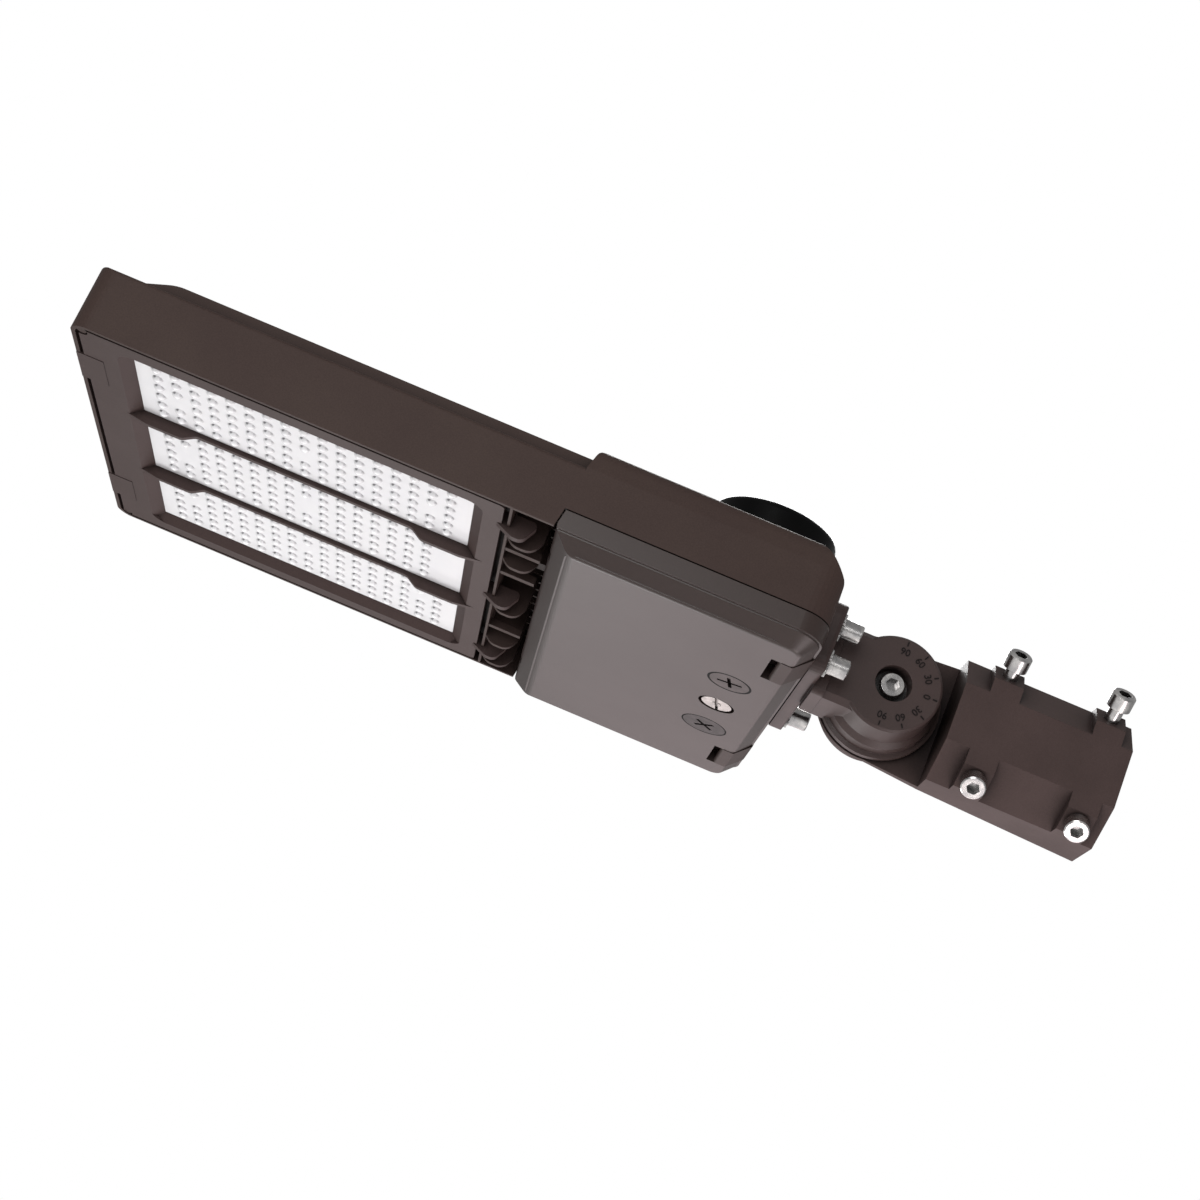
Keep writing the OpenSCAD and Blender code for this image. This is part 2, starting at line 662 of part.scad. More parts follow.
// Form of the door at inset t: sloping edges along the sides and the rear, a softer one in front
module door_form(t, top) {
    r = rear_corner_r;
    x1 = rear_x + 1 - t;
    y1 = half_w - t;
    low = -door_drop + t;
    front = [[door_front_x + door_front_lean + t, top, 0], [door_front_x + t, 0, 6],
             [door_front_x + front_bevel_w + 0.4 * t, low, 12]];
    intersection() {
        along_x(box_x - 2, x1 - r) polygon(rounded(both_sides(concat(door_edge(y1, low, t), [[y1, top, 0]]))));
        along_y(-half_w, half_w) polygon(rounded(concat(front, [[rear_x + 9, low, 0], [rear_x + 9, top, 0]])));
    }
    along_y(-y1 + r, y1 - r)
        polygon(rounded(concat(front, door_edge(x1, low, t), [[x1, top, 0]])));
    for (s = [-1, 1]) translate([x1 - r, s * (y1 - r), 0])
        rotate_extrude()
            polygon(rounded(concat([[0, low, 0]], door_edge(r, low, t), [[r, top, 0], [0, top, 0]])));
}

// Radius of the round recess that a dial lies in
function dial_well_r(y) = y < 0 ? power_dial_r + 0.9 : colour_dial_r + 0.4;

module driver_door() color(bronze) from_head() difference() {
    union() {
        difference() {
            door_form(0, door_top);
            difference() {
                door_form(door_t, door_top + 1);
                // Solid round the latch pockets, the dials and the door screw
                for (s = [-1, 1])
                    block([latch_pocket_x0 - 1.6, s * latch_y - latch_w / 2 - 2.4, -door_drop],
                          [rear_x + 2, s * latch_y + latch_w / 2 + 2.4, pocket_top]);
                for (y = [-dial_y, dial_y])
                    translate([dial_x, y, -door_drop]) cylinder(r = dial_well_r(y) + 2.5, h = 6.5);
                translate([dial_x, 0, -door_drop]) cylinder(r = door_screw_head_r + 4, h = 6.5);
                for (s = [-1, 1], x = [-13, 8], y = [26, 66])
                    translate([dial_x + x, s * y, -door_drop]) cylinder(r = 3, h = door_drop + post_top);
            }
            // The front edge is lower between the sides, so that it clears the box as the door swings
            block([box_x - 1, -half_w + door_t, door_top - 0.6], [hinge_x, half_w - door_t, door_top + 1]);
        }
        seal_rim();
        for (side = [-1, 1]) hinge_ears(side);
    }
    for (side = [-1, 1]) {
        y = side * hinge_y;
        // Slot that the hinge lug stands in, open in front so that the door's front edge passes the lug
        block([hinge_x - 8, y - lug_w / 2 - air, hinge_z - lug_r - 0.3], [hinge_x, y + lug_w / 2 + air, door_top + 1]);
        block([hinge_x - 8, y - lug_w / 2 - air, hinge_z + lug_r], [hinge_x + lug_r + 1, y + lug_w / 2 + air, door_top + 1]);
        rod_y(hinge_x, hinge_z, lug_r + 0.2, y - lug_w / 2 - air, y + lug_w / 2 + air);
        rod_y(hinge_x, hinge_z, hinge_pin_r + run_clear, y - lug_w / 2 - 6, y + lug_w / 2 + 6);
        latch_pocket(side);
    }
    for (y = [-dial_y, dial_y]) {
        translate([dial_x, y, -door_drop - 1]) cylinder(r = dial_well_r(y), h = head_depth + 1);
        translate([dial_x, y, -door_drop]) cylinder(r = stem_r + 2 + run_clear, h = 20);
    }
    translate([dial_x, 0, -door_drop - 1]) cylinder(r = door_screw_head_r + 2, h = head_depth + 1);
    translate([dial_x, 0, -door_drop]) cylinder(r = screw_shaft_r + run_clear, h = 20);
}

// Upstanding rim that presses into the gasket
module seal_rim() {
    rim_top = seam_z - air;
    difference() {
        up_z(door_floor - 1, rim_top) polygon(rounded_box([rim_x0, -rim_half_w], [rim_x1, rim_half_w], 8));
        up_z(door_floor - 2, rim_top + 1)
            polygon(rounded_box([rim_x0 + rim_t, -rim_half_w + rim_t], [rim_x1 - rim_t, rim_half_w - rim_t], 6));
    }
}

module hinge_ears(side)
    intersection() {
        for (s = [-1, 1])
            translate([0, side * hinge_y + s * (lug_w / 2 + air + 2), 0]) {
                rod_y(hinge_x, hinge_z, lug_r + 0.4, -2, 2);
                block([hinge_x - lug_r, -2, -door_drop + 1], [hinge_x + lug_r, 2, hinge_z]);
            }
        door_form(0.5, door_top);
    }

// Pocket that a latch lies in, open below and behind, with room for its hook above
module latch_pocket(side) {
    y0 = side * latch_y - latch_w / 2 - 0.4;
    y1 = side * latch_y + latch_w / 2 + 0.4;
    block([latch_pocket_x0, y0, -door_drop - 1], [rear_x + 5, y1, pocket_top - 1.8]);
    block([latch_pivot_x - 10, y0, -door_drop], [rear_x - door_t + 0.9, y1, pocket_top + 1]);
    block([rear_x - 4.5, y0, pocket_top - 2], [rear_x + 5, y1, latch_slot_top]);
    rod_y(latch_pivot_x, latch_pivot_z, latch_pin_r + run_clear, y0 - 1.5, y1 + 1.5);
}

// A latch: finger tongue flush with the door's floor, wrapped over its rear edge, and a hook inside
module latch(side) color(bronze) from_head() difference() {
    y0 = side * latch_y - latch_w / 2;
    y1 = side * latch_y + latch_w / 2;
    low = -door_drop - latch_proud;
    edge_x = rear_x + 1 + latch_proud;
    hook_x = keeper_x - arm_gap;
    union() {
        along_y(y0, y1)
            polygon(rounded([[latch_front_x, low + 3.4, 0.8], [latch_front_x + 1, low, 2.4],
                             [edge_x - door_bevel_w, low, 2], [edge_x - 1, door_break_z - latch_proud, 1],
                             [edge_x, door_break_z + 1, 1], [edge_x, 1.4, 0.8], [rear_x - 1, 1.4, 0.6],
                             [rear_x - 3, -2.6, 1], [rear_x - 11.4, low + 3.4, 2]]));
        rod_y(latch_pivot_x, latch_pivot_z, latch_eye_r, y0, y1);
        along_y(side * latch_y - keeper_w / 2, side * latch_y + keeper_w / 2)
            polygon([[latch_pivot_x - 2.6, latch_pivot_z], [latch_pivot_x + 1, latch_pivot_z],
                     [hook_x - 1, 6], [hook_x - 1, 8], [hook_x, 9], [hook_x - 1, 10.5], [hook_x - 3, 10.5]]);
    }
    rod_y(latch_pivot_x, latch_pivot_z, latch_pin_r + run_clear, y0 - 1, y1 + 1);
}

module latch_pins() color(steel) from_head()
    for (s = [-1, 1])
        rod_y(latch_pivot_x, latch_pivot_z, latch_pin_r, s * latch_y - latch_w / 2 - 1.7, s * latch_y + latch_w / 2 + 1.7);

module hinge_pins() color(steel) from_head()
    for (s = [-1, 1])
        rod_y(hinge_x, hinge_z, hinge_pin_r, s * hinge_y - lug_w / 2 - 4, s * hinge_y + lug_w / 2 + 4);

module door_gasket() color(seal_grey) from_head() difference() {
    out = 1;
    up_z(seam_z, ledge_z)
        polygon(rounded_box([rim_x0 - out, -rim_half_w - out], [rim_x1 + out, rim_half_w + out], 9));
    up_z(seam_z - 1, ledge_z + 1)
        polygon(rounded_box([rim_x0 + rim_t + out, -rim_half_w + rim_t + out],
                            [rim_x1 - rim_t - out, rim_half_w - rim_t - out], 5));
}

// Coin-slotted screw that holds the door shut
module door_screw() color(steel) from_head() translate([dial_x, 0, -door_drop]) difference() {
    union() {
        translate([0, 0, 0.4]) cylinder(r = door_screw_head_r, h = head_depth - 0.5);
        cylinder(r = screw_shaft_r, h = door_drop + ledge_z + 1.5);
    }
    rotate([0, 0, -10]) block([-1, -door_screw_head_r - 1, -1], [1, door_screw_head_r + 1, 2.4]);
    translate([0, 0, boss_floor + door_drop + 0.2]) difference() {
        cylinder(r = screw_shaft_r + 1, h = 1);
        translate([0, 0, -1]) cylinder(r = screw_shaft_r - 0.5, h = 3);
    }
}

module door_screw_ring() color(steel) from_head() translate([dial_x, 0, boss_floor + 0.3]) difference() {
    cylinder(r = screw_shaft_r + 2.5, h = 0.8);
    translate([0, 0, -1]) cylinder(r = screw_shaft_r - 0.45, h = 3);
}

// A cross-slotted dial, flush with the door, with a stem that reaches its switch
module dial(y, turn, r) from_head() translate([dial_x, y, -door_drop]) difference() {
    union() {
        cylinder(r = r, h = head_depth - 0.1);
        cylinder(r = stem_r + 2, h = door_drop - 4.6);
        cylinder(r = stem_r, h = door_drop + post_top - 0.6);
    }
    for (a = [0, 90]) rotate([0, 0, turn + a])
        block([-8.2, -1.2, -1], [8.2, 1.2, 2.8]);
}
module power_dial() color(bronze) dial(-dial_y, -13, power_dial_r);
module colour_dial() color("#5d5654") dial(dial_y, 45, colour_dial_r);

// Board inside the door with the two rotary switches
module selector_board() color("#2f5d3a") from_head() difference() {
    union() {
        block([dial_x - 16, -board_half_w, post_top], [dial_x + 11, board_half_w, post_top + board_t]);
        for (y = [-dial_y, dial_y])
            block([dial_x - 8, y - 8, post_top - 5], [dial_x + 8, y + 8, post_top]);
    }
    for (y = [-dial_y, dial_y])
        translate([dial_x, y, -door_drop]) cylinder(r = stem_r + 0.1, h = door_drop + post_top - 0.4);
    translate([dial_x, 0, -door_drop]) cylinder(r = screw_shaft_r + 2, h = 30);
}

// ---- Inside the driver box -----------------------------------------------------------------

module driver() color("#b9bbbd") from_head() difference() {
    union() {
        along_y(-driver_l / 2, driver_l / 2)
            polygon(rounded_box([driver_x0, ceiling_z - driver_h], [driver_x0 + driver_w, ceiling_z - 0.01], 2));
        for (s = [-1, 1])
            block([driver_x0 + 12, s * (driver_l / 2 + driver_ear / 2) - driver_ear / 2 - 1, ceiling_z - 3],
                  [driver_x0 + driver_w - 12, s * (driver_l / 2 + driver_ear / 2) + driver_ear / 2 + 1, ceiling_z]);
    }
    for (s = [-1, 1])
        translate([driver_x0 + driver_w / 2, s * (driver_l / 2 + 6), ceiling_z - 10]) cylinder(r = 2.3, h = 20);
}

module driver_screws() color(steel) from_head()
    for (s = [-1, 1]) translate([driver_x0 + driver_w / 2, s * (driver_l / 2 + 6), ceiling_z]) {
        translate([0, 0, -3]) cylinder(r = 2, h = 3);
        translate([0, 0, -5.4]) cylinder(r = 4, h = 2.4);
    }

module surge_protector() color("#7d2f2a") from_head()
    along_y(terminal_y, terminal_y + surge_l)
        polygon(rounded_box([dial_x - 6 - surge_w, ceiling_z - surge_h], [dial_x - 6, ceiling_z], 2));

module terminal_block() color(black) from_head() {
    block([dial_x - 40, -terminal_y - 10 - terminal_l, ceiling_z - 16], [dial_x - 16, -terminal_y - 10, ceiling_z]);
    for (i = [0:3])
        block([dial_x - 36, port_y(i) - 3, ceiling_z - 19], [dial_x - 20, port_y(i) + 3, ceiling_z - 15]);
}

// Middle of a terminal, from the near end of the block
function port_y(i) = -terminal_y - 10 - terminal_l + (i + 0.5) * port_pitch;

// A round wire through a list of points
module wire(points, r)
    for (i = [0:len(points) - 2]) {
        run = points[i + 1] - points[i];
        translate(points[i]) rotate([0, acos(run.z / norm(run)), atan2(run.y, run.x)]) cylinder(r = r, h = norm(run), $fn = 16);
        translate(points[i + 1]) sphere(r = r * 1.3, $fn = 16);
    }

module led_wires() color(wire_red) from_head()
    for (s = [-1, 1])
        wire([[driver_x0, duct_y + s * 1.6, duct_z], [duct_x0 + 2 + duct_bore_r, duct_y + s * 1.6, duct_z],
              [duct_x0 + 2 + duct_bore_r, duct_y + s * 1.6, spreader_z + 1.4]], wire_r);

module supply_wires() color(wire_red) from_head()
    for (i = [0:2]) {
        run_z = ceiling_z - 29 + i * 3.4;
        hole_z = socket_axis_z + (i - 1) * 3.4;
        wire([[dial_x - 28, port_y(i), ceiling_z - 19], [dial_x - 28, port_y(i), run_z], [dial_x - 10, -45, run_z],
              [rear_x - 16, -knuckle_half_w / 2, hole_z], [plate_x + 10, -knuckle_half_w / 2, hole_z]], wire_r);
    }

// ---- Photocell -----------------------------------------------------------------------------

module receptacle() color(black) from_head() translate([photocell_x, 0, roof_z]) difference() {
    union() {
        translate([0, 0, gasket_t]) cylinder(r = receptacle_r, h = receptacle_h - gasket_t);
        translate([0, 0, -receptacle_depth]) cylinder(r = receptacle_body_r, h = receptacle_depth + gasket_t + 1);
    }
    for (a = [0, 120, 240])
        translate([0, 0, receptacle_h - blade_h - 1]) rotate([0, 0, a - 3])
            rotate_extrude(angle = blade_span + twist + 6)
                translate([blade_r - blade_t / 2 - 0.4, 0]) square([blade_t + 0.8, blade_h + 2]);
}

module receptacle_gasket() color(seal_grey) from_head() translate([photocell_x, 0, roof_z]) difference() {
    cylinder(r = receptacle_r, h = gasket_t);
    translate([0, 0, -1]) cylinder(r = receptacle_body_r + 0.05, h = gasket_t + 2);
}

module photocell() color(black) from_head() translate([photocell_x, 0, roof_z + receptacle_h + air]) {
    rotate_extrude($fn = 72)
        polygon(rounded([[0, 0, 0], [photocell_r - 3, 0, 2], [photocell_r - 0.5, 6, 4], [photocell_r, photocell_h, 4.5],
                         [0, photocell_h, 0]], 8));
    for (a = [0, 120, 240])
        translate([0, 0, -blade_h]) rotate([0, 0, a])
            rotate_extrude(angle = blade_span) translate([blade_r - blade_t / 2, 0]) square([blade_t, blade_h + 1]);
}

// ---- Knuckle -------------------------------------------------------------------------------

// The bracket plate: rounded corners, and soft edges towards the knuckle
module bracket_plate() {
    low = plate_mid_z - plate_h / 2;
    high = plate_mid_z + plate_h / 2 + plate_lip;
    intersection() {
        along_x(plate_x, plate_face_x) polygon(rounded_box([-plate_half_w, low], [plate_half_w, high], 10));
        along_y(-plate_half_w, plate_half_w)
            polygon(rounded([[plate_x, low, 0], [plate_face_x, low, 3], [plate_face_x, high, 4], [plate_x, high, 0]]));
        up_z(low, high)
            polygon(rounded([[plate_x, -plate_half_w, 0], [plate_face_x, -plate_half_w, 3],
                             [plate_face_x, plate_half_w, 3], [plate_x, plate_half_w, 0]]));
    }
}

// Fillet of radius f between the lower edge of the arm and a disc of radius r round the pivot
module arm_fillet(r, f, y0, y1) {
    centre = [-sqrt((r + f) * (r + f) - (arm_half_h + f) * (arm_half_h + f)), -arm_half_h - f];
    sweep = 90 - atan2(-centre.y, -centre.x);
    along_y(y0, y1) translate([pivot_x, socket_axis_z])
        polygon(concat([[0, 0], [centre.x, 0]],
                       [for (i = [0:6]) centre + f * [cos(90 - sweep * i / 6), sin(90 - sweep * i / 6)]]));
}

// Ridges of the toothed joint, standing h towards +Y from y = 0
module teeth(h, offset)
    for (i = [0:tooth_count - 1])
        rotate([0, i * 360 / tooth_count + offset, 0])
            block([tooth_ring_r - 9, -0.4, -0.7], [tooth_ring_r - 0.6, h, 0.7]);

module knuckle_bracket() color(bronze) from_head() difference() {
    union() {
        bracket_plate();
        for (up = [0, 1]) translate([0, 0, up * 2 * socket_axis_z]) mirror([0, 0, up])
            arm_fillet(knuckle_face_r, 12, -knuckle_half_w + 4, -tooth_h);
        // Arm from the plate to the disc, with its outer edges bevelled
        along_x(plate_face_x - 1, pivot_x)
            polygon([[-tooth_h, socket_axis_z + arm_half_h], [-knuckle_half_w + 4, socket_axis_z + arm_half_h],
                     [-knuckle_half_w, socket_axis_z + arm_half_h - 4], [-knuckle_half_w, socket_axis_z - arm_half_h + 4],
                     [-knuckle_half_w + 4, socket_axis_z - arm_half_h], [-tooth_h, socket_axis_z - arm_half_h]]);
        // Gusset where the arm leaves the plate
        along_x(plate_face_x - 1, plate_face_x + 7)
            polygon(rounded_box([-knuckle_half_w - 3, socket_axis_z - arm_half_h - 1],
                                [-tooth_h, plate_mid_z + plate_h / 2 + plate_lip - 3], 4));
        translate([pivot_x, -knuckle_half_w, socket_axis_z]) rotate([-90, 0, 0])
            rotate_extrude($fn = 96)
                polygon([[0, 0], [knuckle_face_r - 1.5, 0], [knuckle_face_r, 1.5], [knuckle_face_r + 1.2, 22],
                         [tooth_ring_r - 3.5, 27], [tooth_ring_r - 3, 36], [tooth_ring_r, 37],
                         [tooth_ring_r, knuckle_half_w - tooth_h - 0.15], [0, knuckle_half_w - tooth_h - 0.15]]);
        translate([pivot_x, -tooth_h - 0.15, socket_axis_z]) teeth(tooth_h, 0);
    }
    rod_y(pivot_x, socket_axis_z, recess_r, -knuckle_half_w - 1, -knuckle_half_w + recess_depth);
    rod_y(pivot_x, socket_axis_z, pivot_d / 2 + run_clear, -knuckle_half_w, 5);
    for (y = [-bolt_y, bolt_y], z = [-bolt_half_z, bolt_half_z])
        rod_x(y, plate_mid_z + z, plate_bolt_r + 0.4, plate_x - 1, plate_face_x + 1);
    // Wire way: from the plate's back through the arm to a ring round the pivot
    rod_x(-knuckle_half_w / 2, socket_axis_z, 8, plate_x - 1, pivot_x - wire_r0 - 2);
    translate([pivot_x, -wire_depth, socket_axis_z]) rotate([-90, 0, 0]) rotate_extrude()
        translate([wire_r0, 0]) square([wire_r1 - wire_r0, wire_depth + 1]);
}

module bracket_gasket() color(seal_grey) from_head() difference() {
    along_x(rear_x + pad_t, plate_x)
        polygon(rounded_box([-plate_half_w + 3, plate_mid_z - plate_h / 2 + 2],
                            [plate_half_w - 3, plate_mid_z + plate_h / 2 - 2], 5));
    rod_x(-knuckle_half_w / 2, socket_axis_z, 8.5, rear_x, plate_x + 1);
    for (y = [-bolt_y, bolt_y], z = [-bolt_half_z, bolt_half_z])
        rod_x(y, plate_mid_z + z, plate_bolt_r + 0.4, rear_x, plate_x + 1);
}

// A socket-head screw along +Z: head above z = 0, shank below
module socket_screw(r, shank, head_r, head_h) difference() {
    union() {
        translate([0, 0, -shank]) cylinder(r = r, h = shank + 1);
        cylinder(r = head_r, h = head_h - 0.8);
        translate([0, 0, head_h - 0.8]) rotate_extrude() polygon([[0, 0], [head_r, 0], [head_r - 0.8, 0.8], [0, 0.8]]);
    }
    translate([0, 0, head_h * 0.45]) cylinder(r = head_r * 0.56, h = head_h, $fn = 6);
}

// A split spring washer, lying on z = 0
module split_washer(r_in, r_out, t) difference() {
    cylinder(r = r_out, h = t);
    translate([0, 0, -1]) cylinder(r = r_in, h = t + 2);
    rotate([0, 0, 30]) block([0, -0.7, -1], [r_out + 1, 0.7, t + 1]);
}

module bracket_bolts() color(steel) from_head()
    for (y = [-bolt_y, bolt_y], z = [-bolt_half_z, bolt_half_z])
        translate([plate_face_x + plate_washer_t, y, plate_mid_z + z]) rotate([0, 90, 0])
            socket_screw(plate_bolt_r, plate_t + plate_washer_t + plate_bolt_grip - 2, plate_bolt_head_r, plate_bolt_head_h);

// A lock washer with teeth round its rim, lying on z = 0
module toothed_washer(r_in, r_out, t) difference() {
    linear_extrude(t) polygon([for (i = [0:47]) (r_out - (i % 2) * 1.1) * [cos(i * 7.5), sin(i * 7.5)]]);
    translate([0, 0, -1]) cylinder(r = r_in, h = t + 2);
}

module bracket_washers() color(steel) from_head()
    for (y = [-bolt_y, bolt_y], z = [-bolt_half_z, bolt_half_z])
        translate([plate_face_x, y, plate_mid_z + z]) rotate([0, 90, 0]) {
            toothed_washer(plate_bolt_r + 0.1, plate_bolt_head_r + 2.6, tooth_washer_t);
            translate([0, 0, tooth_washer_t]) split_washer(plate_bolt_r + 0.1, plate_bolt_head_r + 0.3, split_washer_t);
        }

pivot_seat_y = -knuckle_half_w + recess_depth - 0.1;

module pivot_bolt() color(steel) from_head()
    translate([pivot_x, pivot_seat_y - washer_t, socket_axis_z]) rotate([90, 0, 0])
        socket_screw(pivot_d / 2, washer_t - pivot_seat_y + knuckle_half_w - 3, bolt_head_r, bolt_head_h);

module pivot_washer() color(steel) from_head()
    translate([pivot_x, pivot_seat_y, socket_axis_z]) rotate([90, 0, 0])
        split_washer(pivot_d / 2 + 0.1, recess_r - 1, washer_t);

module pivot_nut() color(steel) from_head()
    translate([pivot_x, knuckle_half_w - 1, socket_axis_z]) rotate([90, 0, 0]) difference() {
        cylinder(r = nut_flats / sqrt(3), h = nut_h, $fn = 6);
        translate([0, 0, -1]) cylinder(r = pivot_d / 2, h = nut_h + 2);
    }

// ---- Slip fitter ---------------------------------------------------------------------------

// Octagon across the upright flats f and the sloping flats 2 s
module octagon(f, s) intersection() {
    square([f, f], center = true);
    rotate(45) square([2 * s, 2 * s], center = true);
}

// Turns +Z to point out along the screws of the upper (1) or lower (-1) row
module screw_axis(x, row) translate([x, 0, 0]) rotate([row == 1 ? 45 : 135, 0, 0]) children();

module slip_fitter() color(bronze) translate([-mouth_x, 0, 0]) difference() {
    union() {
        difference() {
            union() {
                along_x(socket_x, mouth_x) octagon(socket_flats, socket_slope_r);
                intersection() {
                    along_x(pivot_x, socket_x + 1) octagon(socket_flats, socket_slope_r);
                    along_y(tooth_h + 0.15, socket_flats)
                        polygon([[pivot_x, -tooth_ring_r], [socket_x + 1, -tongue_r],
                                 [socket_x + 1, tongue_r], [pivot_x, tooth_ring_r]]);
                }
            }
            // The two far slopes close in towards the knuckle
            for (turn = [-135, -45])
                translate([mouth_x, 0, 0]) rotate([turn, 0, 0]) translate([0, 0, socket_slope_r])
                    rotate([0, -fitter_draft, 0]) block([-200, -80, 0], [5, 80, 40]);
        }
        // Screw bosses on the two near slopes
        for (x = screw_x) intersection() {
            along_x(x - boss_len / 2, x + boss_len / 2) octagon(socket_flats, boss_r);
            block([0, -socket_flats, -socket_flats], [mouth_x, 0, socket_flats]);
        }
        // Far half of the knuckle, a cone that narrows from the toothed ring to the nut's face
        translate([pivot_x, tooth_h + 0.15, 0]) rotate([-90, 0, 0])
            rotate_extrude($fn = 96)
                polygon([[0, 0], [tooth_ring_r + 0.5, 0], [tooth_ring_r + 0.5, 4], [tongue_r - 8, 23],
                         [tongue_r - 14.5, knuckle_half_w - tooth_h - 1.65],
                         [tongue_r - 16, knuckle_half_w - tooth_h - 0.15], [0, knuckle_half_w - tooth_h - 0.15]]);
        translate([pivot_x, tooth_h + 0.15, 0]) rotate([180, 0, 0]) teeth(tooth_h, 180 / tooth_count);
    }
    rod_x(0, 0, socket_bore_r, mouth_x - tenon_depth, mouth_x + 1);
    for (x = screw_x, row = [-1, 1]) screw_axis(x, row) cylinder(r = set_screw_d / 2 + run_clear, h = boss_r + 20);
    rod_y(pivot_x, 0, pivot_d / 2, 0, knuckle_half_w + 1);
    translate([pivot_x, knuckle_half_w + 1, 0]) rotate([90, 0, 0])
        cylinder(r = (nut_flats + 0.2) / sqrt(3), h = nut_h + 2, $fn = 6);
    // Wire way from the ring round the pivot to the socket
    translate([pivot_x, 0, 0]) rotate([-90, 0, 0]) rotate_extrude()
        translate([wire_r0, 0]) square([wire_r1 - wire_r0, wire_depth]);
    block([pivot_x + wire_r0 + 2, 3, -8], [mouth_x - tenon_depth + 1, wire_depth, 8]);
}

module set_screw(i) color(steel) translate([-mouth_x, 0, 0])
    screw_axis(screw_x[i % 2], i < 2 ? 1 : -1) translate([0, 0, boss_r + screw_backout[i]])
        socket_screw(set_screw_d / 2, set_screw_len, set_head_r, set_head_h);

slip_fitter();
set_screw(0);  // set_screw_upper_front
set_screw(1);  // set_screw_upper_rear
set_screw(2);  // set_screw_lower_front
set_screw(3);  // set_screw_lower_rear
pivot_bolt();
pivot_washer();
pivot_nut();
knuckle_bracket();
bracket_gasket();
bracket_bolts();
bracket_washers();
housing();
lens_frame();
lens_gasket();
lens_strip(-1);  // lens_strip_near
lens_strip(0);  // lens_strip_middle
lens_strip(1);  // lens_strip_far
led_board(-1);  // led_board_near
led_board(0);  // led_board_middle
led_board(1);  // led_board_far
driver_door();
door_gasket();
hinge_pins();
latch(-1);  // latch_near
latch(1);  // latch_far
latch_pins();
door_screw();
door_screw_ring();
power_dial();
colour_dial();
selector_board();
driver();
driver_screws();
surge_protector();
terminal_block();
receptacle();
receptacle_gasket();
photocell();
led_wires();
supply_wires();
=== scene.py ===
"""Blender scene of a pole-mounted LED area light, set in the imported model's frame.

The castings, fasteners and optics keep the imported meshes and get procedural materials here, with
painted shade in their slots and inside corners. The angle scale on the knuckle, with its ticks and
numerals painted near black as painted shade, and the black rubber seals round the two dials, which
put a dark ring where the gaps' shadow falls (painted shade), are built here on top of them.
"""
import json
import logging
import math
from abc import ABC, abstractmethod
from dataclasses import dataclass, field, replace
from enum import Enum
from typing import ClassVar, Optional, Sequence

import bpy
import numpy as np
from mathutils import Matrix, Vector

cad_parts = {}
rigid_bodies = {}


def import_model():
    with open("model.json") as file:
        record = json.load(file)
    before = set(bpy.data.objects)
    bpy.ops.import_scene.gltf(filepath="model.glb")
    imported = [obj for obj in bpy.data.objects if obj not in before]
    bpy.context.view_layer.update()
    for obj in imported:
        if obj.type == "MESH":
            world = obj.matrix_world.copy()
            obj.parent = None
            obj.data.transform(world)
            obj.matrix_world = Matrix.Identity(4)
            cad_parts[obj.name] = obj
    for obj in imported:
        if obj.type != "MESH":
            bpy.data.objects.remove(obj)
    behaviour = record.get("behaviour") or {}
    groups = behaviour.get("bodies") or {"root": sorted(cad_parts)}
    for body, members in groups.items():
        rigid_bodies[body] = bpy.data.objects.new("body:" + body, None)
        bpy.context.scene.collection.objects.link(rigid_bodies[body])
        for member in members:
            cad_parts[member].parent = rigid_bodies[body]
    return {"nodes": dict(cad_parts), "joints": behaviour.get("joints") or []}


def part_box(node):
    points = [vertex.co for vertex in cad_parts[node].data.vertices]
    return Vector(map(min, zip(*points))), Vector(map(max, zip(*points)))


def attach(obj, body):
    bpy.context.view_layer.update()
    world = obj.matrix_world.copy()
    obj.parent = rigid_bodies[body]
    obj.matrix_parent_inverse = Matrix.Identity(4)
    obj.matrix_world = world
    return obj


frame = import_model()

LOG = logging.getLogger("area_light")
MM = 0.001
# Index of refraction of every finish
IOR = 1.5
# A noise texture lies between these values nearly everywhere
NOISE_LOW, NOISE_HIGH = 0.3, 0.7
# The part of a noise texture over which the second colour comes in
MOTTLE_LOW, MOTTLE_HIGH = 0.35, 0.65
# Brightness of a coat in the hollows between its grains and on top of them
HOLLOW, CREST = 0.9, 1.06
# The share of open sky over a point, from an inside corner to a nearly flat face, over which the
# painted corner shade fades out
OPEN_LOW, OPEN_HIGH = 0.25, 0.95
# Share of the grain's height that the bump shows
BUMP = 0.7

Point = tuple[float, float, float]
Faces = list[Sequence[int]]


# ---- Colours and finishes ------------------------------------------------------------------


def linear(code: str) -> tuple[float, float, float, float]:
    """Turns an sRGB colour into the linear values that shaders take.

    Args:
        code: Six hexadecimal digits, with or without a leading hash.

    Returns:
        Red, green and blue in linear light, and an alpha of 1.
    """
    digits = code.lstrip("#")
    values = (int(digits[i:i + 2], 16) / 255 for i in (0, 2, 4))
    r, g, b = (v / 12.92 if v <= 0.04045 else ((v + 0.055) / 1.055) ** 2.4 for v in values)
    return (r, g, b, 1.0)


def per_mm(size: float) -> float:
    """Turns the size of a pattern's features into the scale of a texture in object coordinates.

    Args:
        size: Width of one feature of the pattern, in millimetres.

    Returns:
        The scale to set on a texture node.
    """
    return 1.0 / (size * MM)


class Surface(Enum):
    """What kind of surface a finish shows."""

    COATED = "coated"
    METAL = "metal"
    MOULDED = "moulded"
    CLEAR = "clear"
    BOARD = "board"


